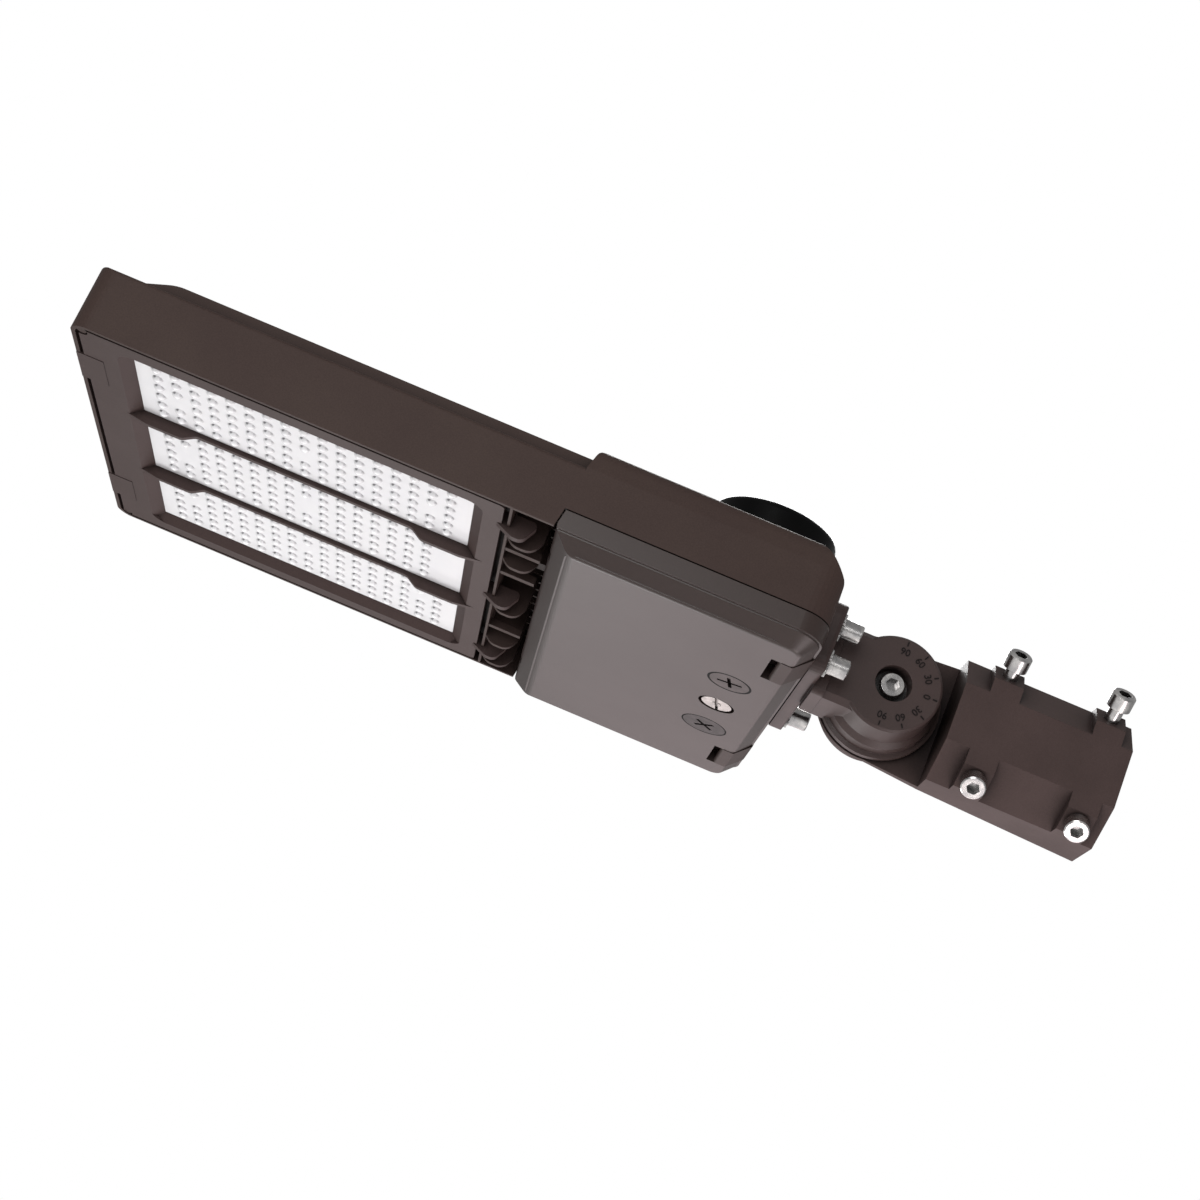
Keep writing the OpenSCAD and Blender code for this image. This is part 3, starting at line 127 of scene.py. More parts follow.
@dataclass(frozen=True)
class Finish:
    """One real material: its colours, its gloss and the size of its texture.

    Attributes:
        name: The material's name.
        surface: What kind of surface it is; coats and mouldings get a speckle.
        colour: Its main colour in sRGB, as six hexadecimal digits.
        second: The colour that it drifts to, in the same way.
        roughness: Its roughness, from 0 to 1.
        roughness_spread: How far the roughness wanders either way.
        metallic: 1 for bare metal.
        grain_mm: Width of one grain.
        mottle_mm: Width of one patch of the second colour.
        mottle: Share of the second colour.
        relief_mm: Height of the grain.
        edge_mm: Radius that the edges are rounded to in the shading.
        alpha: Opacity.
        sheen_level: Strength of the mirror sheen, 0.5 for a plain dielectric.
        cavity: How much painted shade darkens inside corners.
        cavity_mm: How far that painted shade reaches.
        dome_marks: Whether lens domes get painted shade on their steep foot.
        chip_z: Height under which the LED packages of a board show.
        chip: Colour of the LED packages.
    """

    name: str
    surface: Surface
    colour: str
    second: str
    roughness: float
    roughness_spread: float = 0.06
    metallic: float = 0.0
    grain_mm: float = 1.0
    mottle_mm: float = 30.0
    mottle: float = 0.5
    relief_mm: float = 0.05
    edge_mm: float = 0.5
    alpha: float = 1.0
    sheen_level: float = 0.5
    cavity: float = 0.0
    cavity_mm: float = 14.0
    dome_marks: bool = False
    chip_z: Optional[float] = None
    chip: str = "e0b84a"


# Die-cast aluminium with a textured dark bronze powder coat
BRONZE = Finish("bronze_powder_coat", Surface.COATED, "403430", "3d312e", 0.48, grain_mm=0.9,
                roughness_spread=0.03, mottle_mm=80, relief_mm=0.03, edge_mm=0.4,
                sheen_level=0.08, cavity=0.72, cavity_mm=20.0)
# The same powder coat on the lens frame
BRONZE_FRAME = Finish("bronze_powder_coat_frame", Surface.COATED, "433735", "403432", 0.46,
                      grain_mm=0.9, roughness_spread=0.03, mottle_mm=80, relief_mm=0.03,
                      edge_mm=0.35, sheen_level=0.09, cavity=0.7, cavity_mm=5.0)
# The same powder coat on the door, which is satin; its base is a darker copy of the coat's colour:
# painted shade
BRONZE_DOOR = Finish("satin_bronze_powder_coat", Surface.COATED, "332825", "302522", 0.38,
                     grain_mm=0.9, roughness_spread=0.02, mottle_mm=120, relief_mm=0.015,
                     edge_mm=0.3, sheen_level=0.38, cavity=0.7, cavity_mm=5.0)
# The same powder coat on the latches, a little duller
BRONZE_LATCH = Finish("dull_bronze_powder_coat", Surface.COATED, "382d2a", "352a27", 0.44,
                      grain_mm=0.9, roughness_spread=0.02, mottle_mm=120, relief_mm=0.02,
                      edge_mm=0.3, sheen_level=0.12, cavity=0.7, cavity_mm=4.0)
# The same powder coat on the knuckle's bracket
BRONZE_BRACKET = Finish("bronze_powder_coat_bracket", Surface.COATED, "413432", "3b302e", 0.4,
                        grain_mm=0.8, roughness_spread=0.03, mottle_mm=50, relief_mm=0.03,
                        edge_mm=0.6, sheen_level=0.22, cavity=0.4, cavity_mm=5.0)
# The same powder coat on the slip fitter, which is in shade behind the knuckle: a copy with a
# lighter base and strong, far-reaching painted shade in its corners
BRONZE_FITTER = Finish("bronze_powder_coat_fitter", Surface.COATED, "4a3d3b", "443836", 0.4,
                       grain_mm=0.8, roughness_spread=0.03, mottle_mm=50, relief_mm=0.03,
                       edge_mm=0.6, sheen_level=0.07, cavity=0.9, cavity_mm=24.0)
# The raised angle scale in the same powder coat, but painted near black: painted shade for the
# shadows along its strokes, which are too thin for a rounded edge
SCALE_PAINTED_SHADE = Finish("bronze_powder_coat_scale", Surface.COATED, "171110", "141010", 0.45,
                      grain_mm=0.8, roughness_spread=0.03, mottle_mm=50, relief_mm=0.01,
                      edge_mm=0.05, sheen_level=0.12)
# Bright zinc-plated steel screws and washers
ZINC = Finish("zinc_plated_steel", Surface.METAL, "dcd9d6", "b4b2b2", 0.22, metallic=1.0,
              grain_mm=0.35, mottle_mm=7, mottle=0.6, relief_mm=0.008, edge_mm=0.25, cavity=0.62,
              cavity_mm=6.0)
# The same plating at the bottom of the pivot's recess, where little light gets in, copied darker
# and
# with strong corner darkening: painted shade
ZINC_PAINTED_SHADE = Finish("zinc_plated_steel_recessed", Surface.METAL, "b9b6b3", "8f8d8d", 0.3,
                   metallic=1.0, grain_mm=0.35, mottle_mm=7, mottle=0.6, relief_mm=0.008,
                   edge_mm=0.25, cavity=0.93)
# Nickel-plated steel of the door screw
NICKEL = Finish("nickel_plated_steel", Surface.METAL, "bdb7b4", "a39e9b", 0.42, metallic=1.0,
                grain_mm=0.4, mottle_mm=6, mottle=0.6, relief_mm=0.01, edge_mm=0.25)
# Polypropylene shell of the photocell, with a fine spark-eroded texture
BLACK_SHELL = Finish("black_polypropylene", Surface.MOULDED, "080808", "050505", 0.22, grain_mm=0.5,
                     mottle_mm=18, relief_mm=0.012, edge_mm=0.5, sheen_level=0.1)
# Phenolic moulding of the receptacle and the terminal block
BLACK_PHENOLIC = Finish("black_phenolic", Surface.MOULDED, "1c1b1a", "121211", 0.42, grain_mm=0.6,
                        mottle_mm=12, relief_mm=0.02, edge_mm=0.4)
# Bronze nylon of the power dial
BRONZE_NYLON = Finish("bronze_nylon", Surface.MOULDED, "372c2a", "322826", 0.4, grain_mm=0.5,
                      mottle_mm=9, relief_mm=0.015, edge_mm=0.2, sheen_level=0.28, cavity=0.9,
                      cavity_mm=4.0)
# Grey nylon of the colour dial
GREY_NYLON = Finish("grey_nylon", Surface.MOULDED, "3a3434", "342f2f", 0.42, grain_mm=0.5,
                    mottle_mm=9, relief_mm=0.015, edge_mm=0.2, sheen_level=0.16, cavity=0.9,
                    cavity_mm=4.0)
# Silicone rubber seals
SILICONE = Finish("black_silicone", Surface.MOULDED, "121111", "0d0c0c", 0.7, grain_mm=0.7,
                  mottle_mm=8, relief_mm=0.03, edge_mm=0.1, sheen_level=0.1)
# Clear polycarbonate optics
OPTIC = Finish("clear_polycarbonate", Surface.CLEAR, "fdfdfe", "fafafc", 0.12, grain_mm=3.0,
               roughness_spread=0.02, mottle_mm=20, relief_mm=0.002, edge_mm=0.15, alpha=0.8,
               cavity=0.35, cavity_mm=6.0, dome_marks=True)
# White solder mask with yellow phosphor on the LED packages
LED_BOARD = Finish("white_solder_mask", Surface.BOARD, "f7f7f4", "efefec", 0.4, grain_mm=0.5,
                   mottle_mm=10, relief_mm=0.004, edge_mm=0.1)
# Green solder mask of the selector board
GREEN_BOARD = Finish("green_solder_mask", Surface.BOARD, "23553a", "1c4a31", 0.35, grain_mm=0.6,
                     mottle_mm=10, relief_mm=0.01, edge_mm=0.1)
# Brushed aluminium case of the driver
DRIVER_CASE = Finish("brushed_aluminium", Surface.METAL, "c3c5c8", "a9abae", 0.38, metallic=1.0,
                     grain_mm=0.5, mottle_mm=20, relief_mm=0.01, edge_mm=0.5)
# Red epoxy of the surge protector
RED_EPOXY = Finish("red_epoxy", Surface.MOULDED, "8a3a31", "772f28", 0.4, grain_mm=0.8,
                   mottle_mm=14, relief_mm=0.02, edge_mm=0.5)
# PVC insulation of the wires
RED_PVC = Finish("red_pvc", Surface.MOULDED, "a23128", "8f2a22", 0.45, grain_mm=0.5,
                 mottle_mm=10, relief_mm=0.01, edge_mm=0.1)


@dataclass(frozen=True)
class DomeMark:
    """A patch of painted shade on the foot of each lens dome, round one direction of its normals.

    Attributes:
        way: The direction that the patch faces.
        start: Cosine of the angle to that direction at which the patch begins.
        full: The same cosine where the patch is at its darkest.
        shade: The patch's colour.
        depth: Its strength.
    """

    way: Point
    start: float
    full: float
    shade: str
    depth: float


# Painted shade on the domes, standing in for the dark refraction at their foot: the foot towards
# the front end and the near side is painted darkest, and the foot towards the pole a little grey
DOME_SHADES = (
    DomeMark((-0.50, -0.78, -0.38), 0.93, 0.985, "4c4c52", 0.75),
    DomeMark((0.72, -0.58, -0.38), 0.91, 0.98, "97979c", 0.45),
)


def make_node(tree: bpy.types.NodeTree, kind: str, **values: object) -> bpy.types.Node:
    """Adds one node and sets its properties, inputs and links.

    Args:
        tree: The node tree to add to.
        kind: The node's type.
        **values: Properties by name; inputs by name with spaces as underscores. A socket given as
            a value is linked.

    Returns:
        The new node.
    """
    node = tree.nodes.new(kind)
    # Reversed, so that of inputs with the same name the first one counts
    sockets = {s.name.replace(" ", "_"): s for s in reversed(node.inputs)}
    for key, value in values.items():
        if key not in sockets:
            setattr(node, key, value)
        elif isinstance(value, bpy.types.NodeSocket):
            tree.links.new(value, sockets[key])
        else:
            sockets[key].default_value = value
    return node


def mix_shaders(tree: bpy.types.NodeTree, factor: bpy.types.NodeSocket, first: bpy.types.Node,
                second: bpy.types.Node) -> bpy.types.NodeSocket:
    """Blends two shaders.

    Args:
        tree: The node tree to add to.
        factor: 0 for the first shader, 1 for the second.
        first: A shader node.
        second: A shader node.

    Returns:
        The blended shader's socket.
    """
    mix = make_node(tree, "ShaderNodeMixShader")
    for socket, source in zip(mix.inputs, (factor, first.outputs[0], second.outputs[0])):
        tree.links.new(source, socket)
    return mix.outputs[0]


class FinishBuilder:
    """Builds the node materials, one for each finish, and keeps them for reuse."""

    def __init__(self) -> None:
        self._made: dict[str, bpy.types.Material] = {}

    def get(self, finish: Finish) -> bpy.types.Material:
        """Gives the material of a finish, and builds it the first time.

        Args:
            finish: The real material to show.

        Returns:
            The Blender material.
        """
        if finish.name not in self._made:
            self._made[finish.name] = self._build(finish)
        return self._made[finish.name]

    def _build(self, finish: Finish) -> bpy.types.Material:
        """Builds the nodes of a finish.

        Args:
            finish: The real material to show.

        Returns:
            A new Blender material.
        """
        material = bpy.data.materials.new(finish.name)
        material.use_nodes = True
        tree = material.node_tree
        tree.nodes.clear()
        place = make_node(tree, "ShaderNodeTexCoord").outputs["Object"]
        mottle = make_node(tree, "ShaderNodeTexNoise", Vector=place, Scale=per_mm(finish.mottle_mm),
                           Detail=5.0, Roughness=0.55).outputs["Fac"]
        grain = make_node(tree, "ShaderNodeTexNoise", Vector=place, Scale=per_mm(finish.grain_mm),
                          Detail=3.0, Roughness=0.5).outputs["Fac"]
        blend = make_node(tree, "ShaderNodeMapRange", Value=mottle, From_Min=MOTTLE_LOW,
                          From_Max=MOTTLE_HIGH, To_Min=0.0,
                          To_Max=2 * finish.mottle).outputs["Result"]
        colour = self._mix(tree, blend, linear(finish.colour), linear(finish.second))
        if finish.surface in (Surface.COATED, Surface.MOULDED):
            colour = self._speckle(tree, colour, grain)
        if finish.chip_z is not None:
            colour = self._chips(tree, place, colour, finish)
        # Painted shade on the foot of the lens domes
        if finish.dome_marks:
            colour = self._dome_marks(tree, colour)
        # Painted shade in slots and inside corners, by how much open sky each point sees
        if finish.cavity > 0.0:
            colour = self._cavities(tree, colour, finish)
        gloss = make_node(tree, "ShaderNodeMapRange", Value=grain if finish.metallic else mottle,
                          From_Min=NOISE_LOW, From_Max=NOISE_HIGH,
                          To_Min=finish.roughness - finish.roughness_spread,
                          To_Max=finish.roughness + finish.roughness_spread).outputs["Result"]
        soft = make_node(tree, "ShaderNodeBevel", samples=4,
                         Radius=finish.edge_mm * MM).outputs["Normal"]
        normal = make_node(tree, "ShaderNodeBump", Height=grain, Strength=BUMP, Normal=soft,
                           Distance=finish.relief_mm * MM).outputs["Normal"]
        shader = make_node(tree, "ShaderNodeBsdfPrincipled", Base_Color=colour, Roughness=gloss,
                           Normal=normal, Metallic=finish.metallic, IOR=IOR, Alpha=finish.alpha,
                           Specular_IOR_Level=finish.sheen_level)
        make_node(tree, "ShaderNodeOutputMaterial", Surface=shader.outputs["BSDF"])
        return material

    @staticmethod
    def _mix(tree: bpy.types.NodeTree, factor: bpy.types.NodeSocket, first: object,
             second: object) -> bpy.types.NodeSocket:
        """Blends two colours.

        Args:
            tree: The node tree to add to.
            factor: 0 for the first colour, 1 for the second.
            first: A linear colour or a socket.
            second: A linear colour or a socket.

        Returns:
            The blended colour's socket.
        """
        node = make_node(tree, "ShaderNodeMix", data_type="RGBA")
        # The sockets of a colour mix are input 0 for the factor, 6 and 7 for the colours, output 2
        tree.links.new(factor, node.inputs[0])
        for socket, value in ((node.inputs[6], first), (node.inputs[7], second)):
            if isinstance(value, bpy.types.NodeSocket):
                tree.links.new(value, socket)
            else:
                socket.default_value = value
        return node.outputs[2]

    @staticmethod
    def _scaled(tree: bpy.types.NodeTree, colour: bpy.types.NodeSocket,
                factor: bpy.types.NodeSocket) -> bpy.types.NodeSocket:
        """Multiplies a colour by a number.

        Args:
            tree: The node tree to add to.
            colour: The colour so far.
            factor: What it is multiplied by.

        Returns:
            The product's socket.
        """
        scaled = make_node(tree, "ShaderNodeVectorMath", operation="SCALE", Scale=factor)
        tree.links.new(colour, scaled.inputs[0])
        return scaled.outputs["Vector"]

    def _speckle(self, tree: bpy.types.NodeTree, colour: bpy.types.NodeSocket,
                 grain: bpy.types.NodeSocket) -> bpy.types.NodeSocket:
        """Darkens the hollows between the grains a little.

        Args:
            tree: The node tree to add to.
            colour: The colour so far.
            grain: The grain pattern, 0 to 1.

        Returns:
            The speckled colour's socket.
        """
        depth = make_node(tree, "ShaderNodeMapRange", Value=grain, From_Min=NOISE_LOW,
                          From_Max=NOISE_HIGH, To_Min=HOLLOW, To_Max=CREST).outputs["Result"]
        return self._scaled(tree, colour, depth)

    def _cavities(self, tree: bpy.types.NodeTree, colour: bpy.types.NodeSocket,
                  finish: Finish) -> bpy.types.NodeSocket:
        """Paints shade into slots and inside corners, darker where less open sky is seen: painted
        shade.

        Args:
            tree: The node tree to add to.
            colour: The colour so far.
            finish: The finish, with the depth and the reach of the darkening.

        Returns:
            The new colour's socket.
        """
        open_part = make_node(tree, "ShaderNodeAmbientOcclusion", samples=6,
                              Distance=finish.cavity_mm * MM).outputs["AO"]
        level = make_node(tree, "ShaderNodeMapRange", Value=open_part, From_Min=OPEN_LOW,
                          From_Max=OPEN_HIGH, To_Min=1.0 - finish.cavity,
                          To_Max=1.0).outputs["Result"]
        return self._scaled(tree, colour, level)

    def _dome_marks(self, tree: bpy.types.NodeTree,
                    colour: bpy.types.NodeSocket) -> bpy.types.NodeSocket:
        """Paints shade on the steep foot of each dome by the direction of its normals: painted
        shade for the dark refraction there.

        Args:
            tree: The node tree to add to.
            colour: The colour so far.

        Returns:
            The new colour's socket.
        """
        facing = make_node(tree, "ShaderNodeTexCoord").outputs["Normal"]
        for mark in DOME_SHADES:
            near = make_node(tree, "ShaderNodeVectorMath", operation="DOT_PRODUCT")
            tree.links.new(facing, near.inputs[0])
            near.inputs[1].default_value = Vector(mark.way).normalized()
            part = make_node(tree, "ShaderNodeMapRange", Value=near.outputs["Value"],
                             From_Min=mark.start, From_Max=mark.full, To_Min=0.0,
                             To_Max=mark.depth).outputs["Result"]
            colour = self._mix(tree, part, colour, linear(mark.shade))
        return colour

    def _chips(self, tree: bpy.types.NodeTree, place: bpy.types.NodeSocket,
               colour: bpy.types.NodeSocket, finish: Finish) -> bpy.types.NodeSocket:
        """Colours what stands below a height, which are the LED packages on a board.

        Args:
            tree: The node tree to add to.
            place: Object coordinates.
            colour: The colour so far.
            finish: The finish, with the height and the colour of the packages.

        Returns:
            The new colour's socket.
        """
        height = make_node(tree, "ShaderNodeSeparateXYZ", Vector=place).outputs["Z"]
        below = make_node(tree, "ShaderNodeMath", operation="LESS_THAN")
        tree.links.new(height, below.inputs[0])
        below.inputs[1].default_value = finish.chip_z
        return self._mix(tree, below.outputs[0], colour, linear(finish.chip))


# ---- Sub-assemblies ------------------------------------------------------------------------


def mesh_points(mesh: bpy.types.Mesh) -> np.ndarray:
    """Reads the points of a mesh.

    Args:
        mesh: The mesh to read.

    Returns:
        One row of three numbers for each point.
    """
    points = np.empty(len(mesh.vertices) * 3)
    mesh.vertices.foreach_get("co", points)
    return points.reshape(-1, 3)


@dataclass
class SubAssembly(ABC):
    """One group of pieces that belong together."""

    finishes: FinishBuilder
    dressed: ClassVar[dict[str, Finish]] = {}

    def dress(self) -> None:
        """Gives each of the group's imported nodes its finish."""
        for node, finish in self.dressed.items():
            self.coat(node, finish)
        LOG.info("%s: %d nodes dressed", type(self).__name__, len(self.dressed))

    def coat(self, node: str, finish: Finish) -> None:
        """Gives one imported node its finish.

        Args:
            node: The node's name.
            finish: The real material to show.
        """
        mesh = frame["nodes"][node].data
        mesh.materials.clear()
        mesh.materials.append(self.finishes.get(finish))

    def add_piece(self, name: str, points: np.ndarray, faces: Faces,
                  finish: Finish) -> bpy.types.Object:
        """Makes one new piece at the origin.

        Args:
            name: The piece's name.
            points: One row of three numbers for each point, in metres.
            faces: The point numbers of each face.
            finish: The real material to show.

        Returns:
            The new object, linked to the scene.
        """
        mesh = bpy.data.meshes.new(name)
        mesh.from_pydata(points.tolist(), [], faces)
        mesh.update()
        mesh.materials.append(self.finishes.get(finish))
        piece = bpy.data.objects.new(name, mesh)
        bpy.context.scene.collection.objects.link(piece)
        return piece

    @abstractmethod
    def build(self) -> None:
        """Makes the group's own pieces."""


@dataclass
class Head(SubAssembly):
    """The castings of the light head and what is bolted to them."""

    dressed: ClassVar[dict[str, Finish]] = {
        "housing": BRONZE, "lens_frame": BRONZE_FRAME, "driver_door": BRONZE_DOOR,
        "latch_near": BRONZE_LATCH, "latch_far": BRONZE_LATCH, "hinge_pins": ZINC,
        "latch_pins": ZINC, "door_screw": NICKEL, "door_screw_ring": ZINC,
        "door_gasket": SILICONE, "power_dial": BRONZE_NYLON, "colour_dial": GREY_NYLON,
    }

    def build(self) -> None:
        """Dresses the head's nodes."""
        self.dress()


@dataclass
class DialSeals(SubAssembly):
    """The black rubber seal in the gap round each dial, level with the door; it puts a dark ring
    where the gap's shadow falls: painted shade.

    Attributes:
        lap: How far a seal reaches over either side of its gap.
        proud: How far it stands out of the door's face.
        depth: How deep it sits in the gap.
        steps: The number of steps round the ring.
        gaps: The gap's width round each dial.
    """

    lap: float = 0.35 * MM
    proud: float = 0.06 * MM
    depth: float = 0.8 * MM
    steps: int = 96
    gaps: ClassVar[dict[str, float]] = {"power_dial": 0.9 * MM, "colour_dial": 0.4 * MM}

    def build(self) -> None:
        """Builds one ring for each dial."""
        for node, gap in self.gaps.items():
            self._ring(node, gap)

    def _ring(self, node: str, gap: float) -> None:
        """Builds one seal: a profile with chamfered corners carried along a circle.

        The profile's points are (radius, height); the ring is every point turned through a full
        circle, (radius cos t, radius sin t, height).

        Args:
            node: The dial that the seal goes round.
            gap: The width of the gap round it.
        """
        low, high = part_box(node)
        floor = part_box("driver_door")[0].z
        inner = (high.x - low.x) / 2 - self.lap
        outer = (high.x - low.x) / 2 + gap + self.lap
        top, crown, round_off = floor + self.depth, floor - self.proud, self.lap / 2
        profile = np.array(((inner, top), (inner, floor), (inner + round_off, crown),
                            (outer - round_off, crown), (outer, floor), (outer, top)))
        turn = np.linspace(0.0, 2 * np.pi, self.steps, endpoint=False)
        centre = (low + high) / 2
        count = len(profile)
        grid = np.empty((self.steps, count, 3))
        grid[..., 0] = centre.x + profile[:, 0] * np.cos(turn)[:, None]
        grid[..., 1] = centre.y + profile[:, 0] * np.sin(turn)[:, None]
        grid[..., 2] = profile[:, 1]
        i, j = np.meshgrid(np.arange(self.steps), np.arange(count), indexing="ij")
        after_i, after_j = (i + 1) % self.steps, (j + 1) % count
        faces = np.stack((i * count + j, after_i * count + j, after_i * count + after_j,
                          i * count + after_j), axis=-1).reshape(-1, 4)
        # The seal's black ring stands in for the shadow in the dial's gap: painted shade
        piece = self.add_piece(f"{node}_seal", grid.reshape(-1, 3), faces.tolist(), SILICONE)
        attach(piece, "door")


@dataclass
class Optics(SubAssembly):
    """The LED boards and the lens strips in front of them.

    Attributes:
        chip_height: How far up the LED packages are coloured.
    """

    chip_height: float = 0.3 * MM
    dressed: ClassVar[dict[str, Finish]] = {
        "lens_gasket": SILICONE, "lens_strip_near": OPTIC, "lens_strip_middle": OPTIC,
        "lens_strip_far": OPTIC,
    }

    def build(self) -> None:
        """Dresses the optics; the boards' packages are coloured by their height."""
        self.dress()
        board = replace(LED_BOARD, chip_z=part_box("led_board_near")[0].z + self.chip_height)
        for node in ("led_board_near", "led_board_middle", "led_board_far"):
            self.coat(node, board)


@dataclass
class DriverBay(SubAssembly):
    """The electrical parts inside the driver box."""

    dressed: ClassVar[dict[str, Finish]] = {
        "selector_board": GREEN_BOARD, "driver": DRIVER_CASE, "driver_screws": ZINC,
        "surge_protector": RED_EPOXY, "terminal_block": BLACK_PHENOLIC, "led_wires": RED_PVC,
        "supply_wires": RED_PVC,
    }

    def build(self) -> None:
        """Dresses the driver bay's nodes."""
        self.dress()


@dataclass
class Photocell(SubAssembly):
    """The photocell and its receptacle."""

    dressed: ClassVar[dict[str, Finish]] = {
        "photocell": BLACK_SHELL, "receptacle": BLACK_PHENOLIC, "receptacle_gasket": SILICONE,
    }

    def build(self) -> None:
        """Dresses the photocell's nodes."""
        self.dress()


@dataclass
class Knuckle(SubAssembly):
    """The tilting knuckle, the slip fitter and the angle scale.

    Attributes:
        angles: The angles on the scale, in degrees.
        disc: The radius within which the knuckle's outer face lies.
        relief: How far the scale stands out of the face.
        sunk: How far its foot is sunk into the face.
        ring: The radius of the ticks' outer ends.
        tick_length: A tick's length along the radius.
        tick_width: A tick's width.
        number_ring: The radius of the numerals' middles.
        number_size: The numerals' size.
    """

    angles: Sequence[int] = (-90, -60, -30, 0, 30, 60, 90)
    disc: float = 31 * MM
    relief: float = 0.5 * MM
    sunk: float = 0.05 * MM
    ring: float = 29.6 * MM
    tick_length: float = 3.0 * MM
    tick_width: float = 0.75 * MM
    number_ring: float = 22.3 * MM
    number_size: float = 6.6 * MM
    dressed: ClassVar[dict[str, Finish]] = {
        "knuckle_bracket": BRONZE_BRACKET, "slip_fitter": BRONZE_FITTER,
        "bracket_gasket": SILICONE, "bracket_bolts": ZINC, "bracket_washers": ZINC,
        "pivot_bolt": ZINC, "pivot_washer": ZINC_PAINTED_SHADE, "pivot_nut": ZINC,
        "set_screw_upper_front": ZINC, "set_screw_upper_rear": ZINC,
        "set_screw_lower_front": ZINC, "set_screw_lower_rear": ZINC,
    }

    def build(self) -> None:
        """Dresses the knuckle and builds the angle scale on its outer face."""
        self.dress()
        joint = next(j for j in frame["joints"] if j["name"] == "knuckle_tilt")
        centre = Vector(joint["pos_m"])
        points = mesh_points(frame["nodes"]["knuckle_bracket"].data)
        near = np.hypot(points[:, 0] - centre.x, points[:, 2] - centre.z) < self.disc
        centre.y = float(points[near, 1].min())
        self._scale(centre)

    def _scale(self, centre: Vector) -> None:
        """Builds the raised ticks and numerals of the angle scale.

        Args:
            centre: The middle of the knuckle's outer face.
        """
        blocks: list[np.ndarray] = []
        faces: Faces = []
        count = 0
        for angle in self.angles:
            for points, polygons in (self._tick(angle), self._numeral(angle)):
                blocks.append(points)
                faces.extend(tuple(i + count for i in face) for face in polygons)
                count += len(points)
        flat = np.concatenate(blocks)
        placed = np.column_stack((flat[:, 0] + centre.x, centre.y + self.sunk - flat[:, 2],
                                  flat[:, 1] + centre.z))
        # The scale's near-black colour is painted shade
        piece = self.add_piece("angle_scale", placed, faces, SCALE_PAINTED_SHADE)
        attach(piece, "head")

    def _tick(self, angle: int) -> tuple[np.ndarray, Faces]:
        """Builds one raised tick mark.

        Args:
            angle: The tick's angle, 0 towards the pole and positive upwards, in degrees.

        Returns:
            The tick's points in the face's plane with their height, and its faces.
        """
        along, across = self._ways(angle)
        corners = [along * (self.ring - a * self.tick_length) - across * b * self.tick_width / 2
                   for a, b in ((1, -1), (0, -1), (0, 1), (1, 1))]
        points = [(x, y, z) for z in (0.0, self.relief) for x, y in corners]
        faces = [(4, 5, 6, 7), (3, 2, 1, 0), (0, 1, 5, 4), (1, 2, 6, 5), (2, 3, 7, 6), (3, 0, 4, 7)]
        return np.array(points), faces

    def _numeral(self, angle: int) -> tuple[np.ndarray, Faces]:
        """Builds one raised number inside its tick, with its top turned outwards.

        Args:
            angle: The angle that the number stands for.

        Returns:
            The number's points in the face's plane with their height, and its faces.
        """
        curve = bpy.data.curves.new("numeral", "FONT")
        curve.body = str(abs(angle))
        curve.size = self.number_size
        curve.extrude = self.relief / 2
        curve.align_x = "CENTER"
        curve.align_y = "CENTER"
        curve.resolution_u = 4
        source = bpy.data.objects.new("numeral", curve)
        mesh = bpy.data.meshes.new_from_object(source)
        points = mesh_points(mesh)
        faces = [tuple(p.vertices) for p in mesh.polygons]
        for data, store in ((source, bpy.data.objects), (curve, bpy.data.curves),
                            (mesh, bpy.data.meshes)):
            store.remove(data)
        outward, rightward = self._ways(angle)
        points[:, :2] = outward * (points[:, 1:2] + self.number_ring) + rightward * points[:, :1]
        points[:, 2] += self.relief / 2
        return points, faces

    @staticmethod
    def _ways(angle: int) -> tuple[np.ndarray, np.ndarray]:
        """Gives the directions along and across a radius of the face.

        Args:
            angle: The radius's angle, in degrees.

        Returns:
            The direction outwards, and the one that lies to its right.
        """
        turn = math.radians(angle)
        outward = np.array((math.cos(turn), math.sin(turn)))
        return outward, np.array((outward[1], -outward[0]))


# ---- Studio --------------------------------------------------------------------------------


@dataclass(frozen=True)
class Lamp:
    """One soft area light.

    Attributes:
        name: The light's name.
        place: Where it stands, in metres.
        aim: The point it shines at, in metres.
        size: Its width, in metres.
        power: Its power, in watts.
        colour: Its sRGB colour.
    """

    name: str
    place: Point
    aim: Point
    size: float
    power: float
    colour: str = "ffffff"


# The middle of the light, and the fitter, which the lamps aim at
MIDDLE: Point = (-0.35, 0.0, 0.0)
FITTER: Point = (-0.1, 0.0, 0.0)


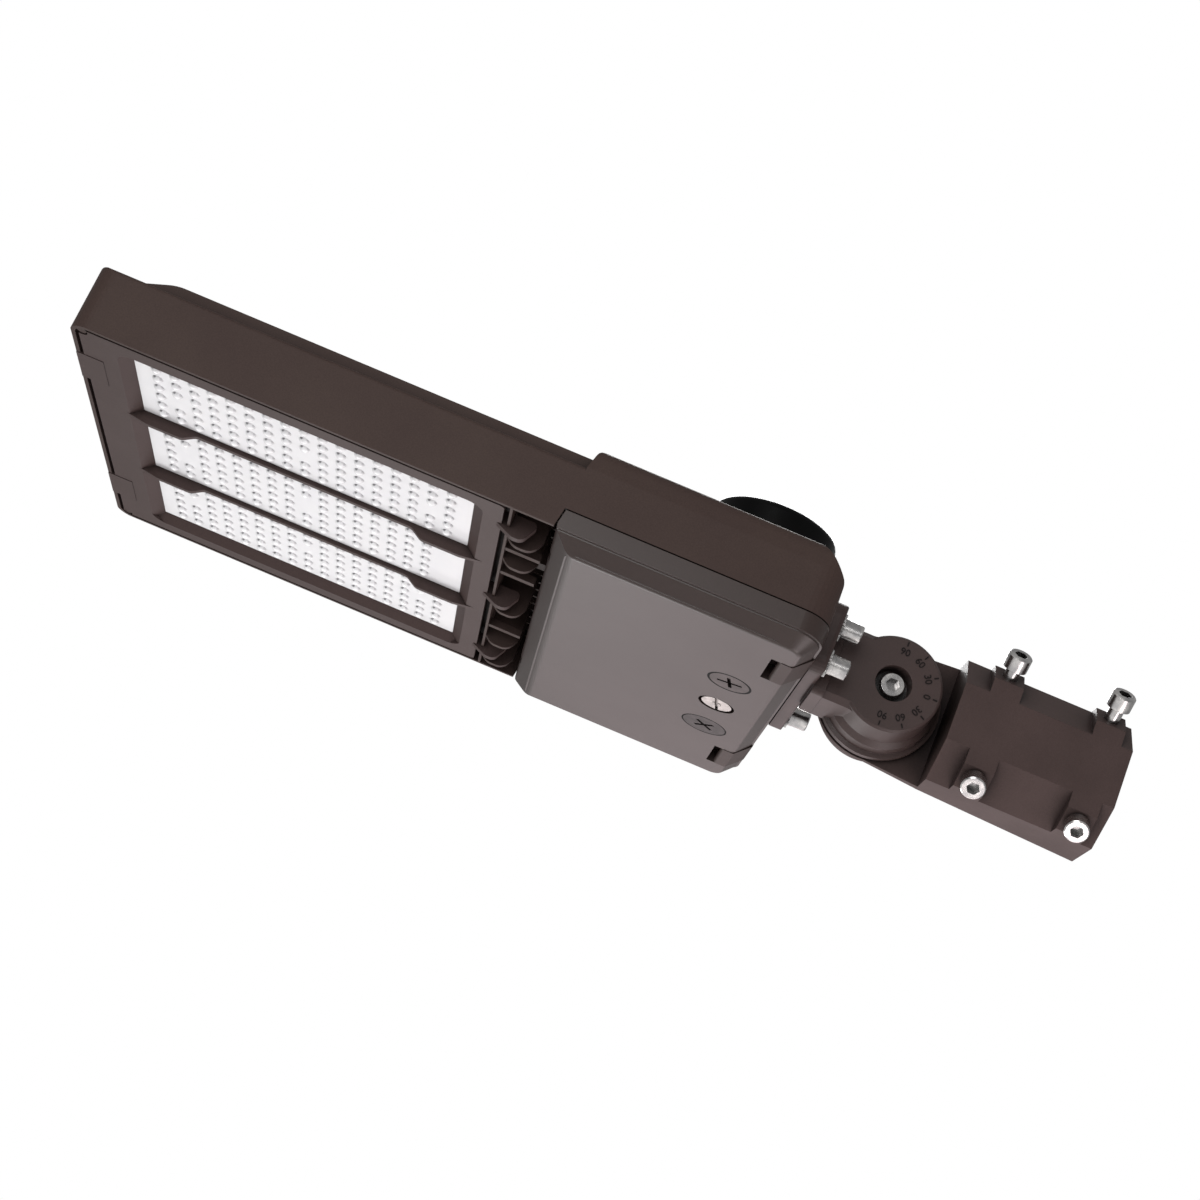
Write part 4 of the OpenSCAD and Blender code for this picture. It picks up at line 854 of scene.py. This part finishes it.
@dataclass
class Studio:
    """The floor, the lights, the world and the camera.

    Attributes:
        place: The camera's place, in metres.
        right: The camera's right-hand direction.
        up: The camera's upward direction.
        lens: The focal length, in millimetres.
        sensor: The sensor's width, in millimetres.
        clip: The nearest and the furthest distance that the camera sees, in metres.
        floor_reach: How far the floor reaches each way, in metres.
        floor_z: The floor's height, in metres.
        surround: The strength of the white surround as a light.
        backdrop: Its strength as a backdrop.
        lamps: The soft lights.
    """

    place: Vector = field(default_factory=lambda: Vector((-0.324408, -1.367659, -0.484796)))
    right: Vector = field(default_factory=lambda: Vector((0.92159, -0.11221, 0.37158)))
    up: Vector = field(default_factory=lambda: Vector((-0.38777, -0.30863, 0.86855)))
    lens: float = 66.78
    sensor: float = 36.0
    clip: tuple[float, float] = (0.05, 50.0)
    floor_reach: float = 6.0
    floor_z: float = -1.15
    surround: float = 0.34
    backdrop: float = 1.0
    lamps: Sequence[Lamp] = (
        Lamp("key_light", (-1.3, -1.6, 1.5), MIDDLE, 1.6, 1.0),
        Lamp("under_light", (0.25, 2.0, -0.95), (-0.3, 0.0, 0.0), 1.9, 7.4, "ffe9ed"),
        Lamp("side_light", (-0.8, -2.0, 0.0), MIDDLE, 1.3, 26.0),
        Lamp("lens_light", (-0.6, 0.8, -1.05), (-0.5, 0.0, 0.0), 0.8, 11.0),
        Lamp("fitter_light", (0.4, -0.1, -1.0), FITTER, 0.7, 5.2, "fff2f4"),
        Lamp("rear_light", (-0.3, 1.9, 1.3), MIDDLE, 1.4, 42.0),
    )

    def build(self) -> None:
        """Makes the whole studio."""
        self._floor()
        self._world()
        for lamp in self.lamps:
            self._light(lamp)
        self._camera()
        bpy.context.scene.view_settings.view_transform = "Standard"

    def _floor(self) -> None:
        """Lays a plain pale floor well below the light, clear to a view from under it."""
        material = bpy.data.materials.new("pale_floor")
        material.use_nodes = True
        tree = material.node_tree
        tree.nodes.clear()
        below = make_node(tree, "ShaderNodeNewGeometry").outputs["Backfacing"]
        paint = make_node(tree, "ShaderNodeBsdfPrincipled", Base_Color=linear("f2f2f2"),
                          Roughness=0.9)
        clear = make_node(tree, "ShaderNodeBsdfTransparent")
        make_node(tree, "ShaderNodeOutputMaterial", Surface=mix_shaders(tree, below, paint, clear))
        mesh = bpy.data.meshes.new("floor")
        points = [(x * self.floor_reach, y * self.floor_reach, self.floor_z)
                  for x, y in ((-1, -1), (1, -1), (1, 1), (-1, 1))]
        mesh.from_pydata(points, [], [(0, 1, 2, 3)])
        mesh.materials.append(material)
        floor = bpy.data.objects.new("floor", mesh)
        bpy.context.scene.collection.objects.link(floor)

    def _world(self) -> None:
        """Makes a plain white surround: soft light on the object, white behind it."""
        world = bpy.data.worlds.new("studio")
        bpy.context.scene.world = world
        world.use_nodes = True
        tree = world.node_tree
        tree.nodes.clear()
        path = make_node(tree, "ShaderNodeLightPath")
        seen = make_node(tree, "ShaderNodeMath", operation="MAXIMUM")
        tree.links.new(path.outputs["Is Camera Ray"], seen.inputs[0])
        tree.links.new(path.outputs["Is Transmission Ray"], seen.inputs[1])
        light, white = (make_node(tree, "ShaderNodeBackground", Color=linear("ffffff"),
                                  Strength=strength) for strength in (self.surround, self.backdrop))
        make_node(tree, "ShaderNodeOutputWorld",
                  Surface=mix_shaders(tree, seen.outputs[0], light, white))

    def _light(self, lamp: Lamp) -> None:
        """Adds one soft area light.

        Args:
            lamp: The light to add.
        """
        place = Vector(lamp.place)
        data = bpy.data.lights.new(lamp.name, "AREA")
        data.color = linear(lamp.colour)[:3]
        data.shape, data.size, data.energy = "DISK", lamp.size, lamp.power
        light = bpy.data.objects.new(lamp.name, data)
        light.location = place
        light.rotation_euler = (Vector(lamp.aim) - place).to_track_quat("-Z", "Y").to_euler()
        bpy.context.scene.collection.objects.link(light)

    def _camera(self) -> None:
        """Sets up the camera at the photograph's angle and distance."""
        data = bpy.data.cameras.new("camera")
        data.lens, data.sensor_width = self.lens, self.sensor
        data.clip_start, data.clip_end = self.clip
        camera = bpy.data.objects.new("camera", data)
        back = self.right.cross(self.up)
        turn = Matrix((self.right, self.up, back)).transposed()
        camera.matrix_world = Matrix.Translation(self.place) @ turn.to_4x4()
        bpy.context.scene.collection.objects.link(camera)
        bpy.context.scene.camera = camera


def corners(box: Sequence[Vector]) -> list[list[float]]:
    """Turns a box into plain lists.

    Args:
        box: The lowest and the highest corner.

    Returns:
        The two corners as lists of numbers.
    """
    return [[float(v) for v in corner] for corner in box]


def main() -> None:
    """Builds the scene."""
    logging.basicConfig(level=logging.INFO)
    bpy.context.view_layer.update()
    Studio().build()
    builder = FinishBuilder()
    for group in (Head, DialSeals, Optics, DriverBay, Photocell, Knuckle):
        group(builder).build()


if __name__ == "__main__":
    main()
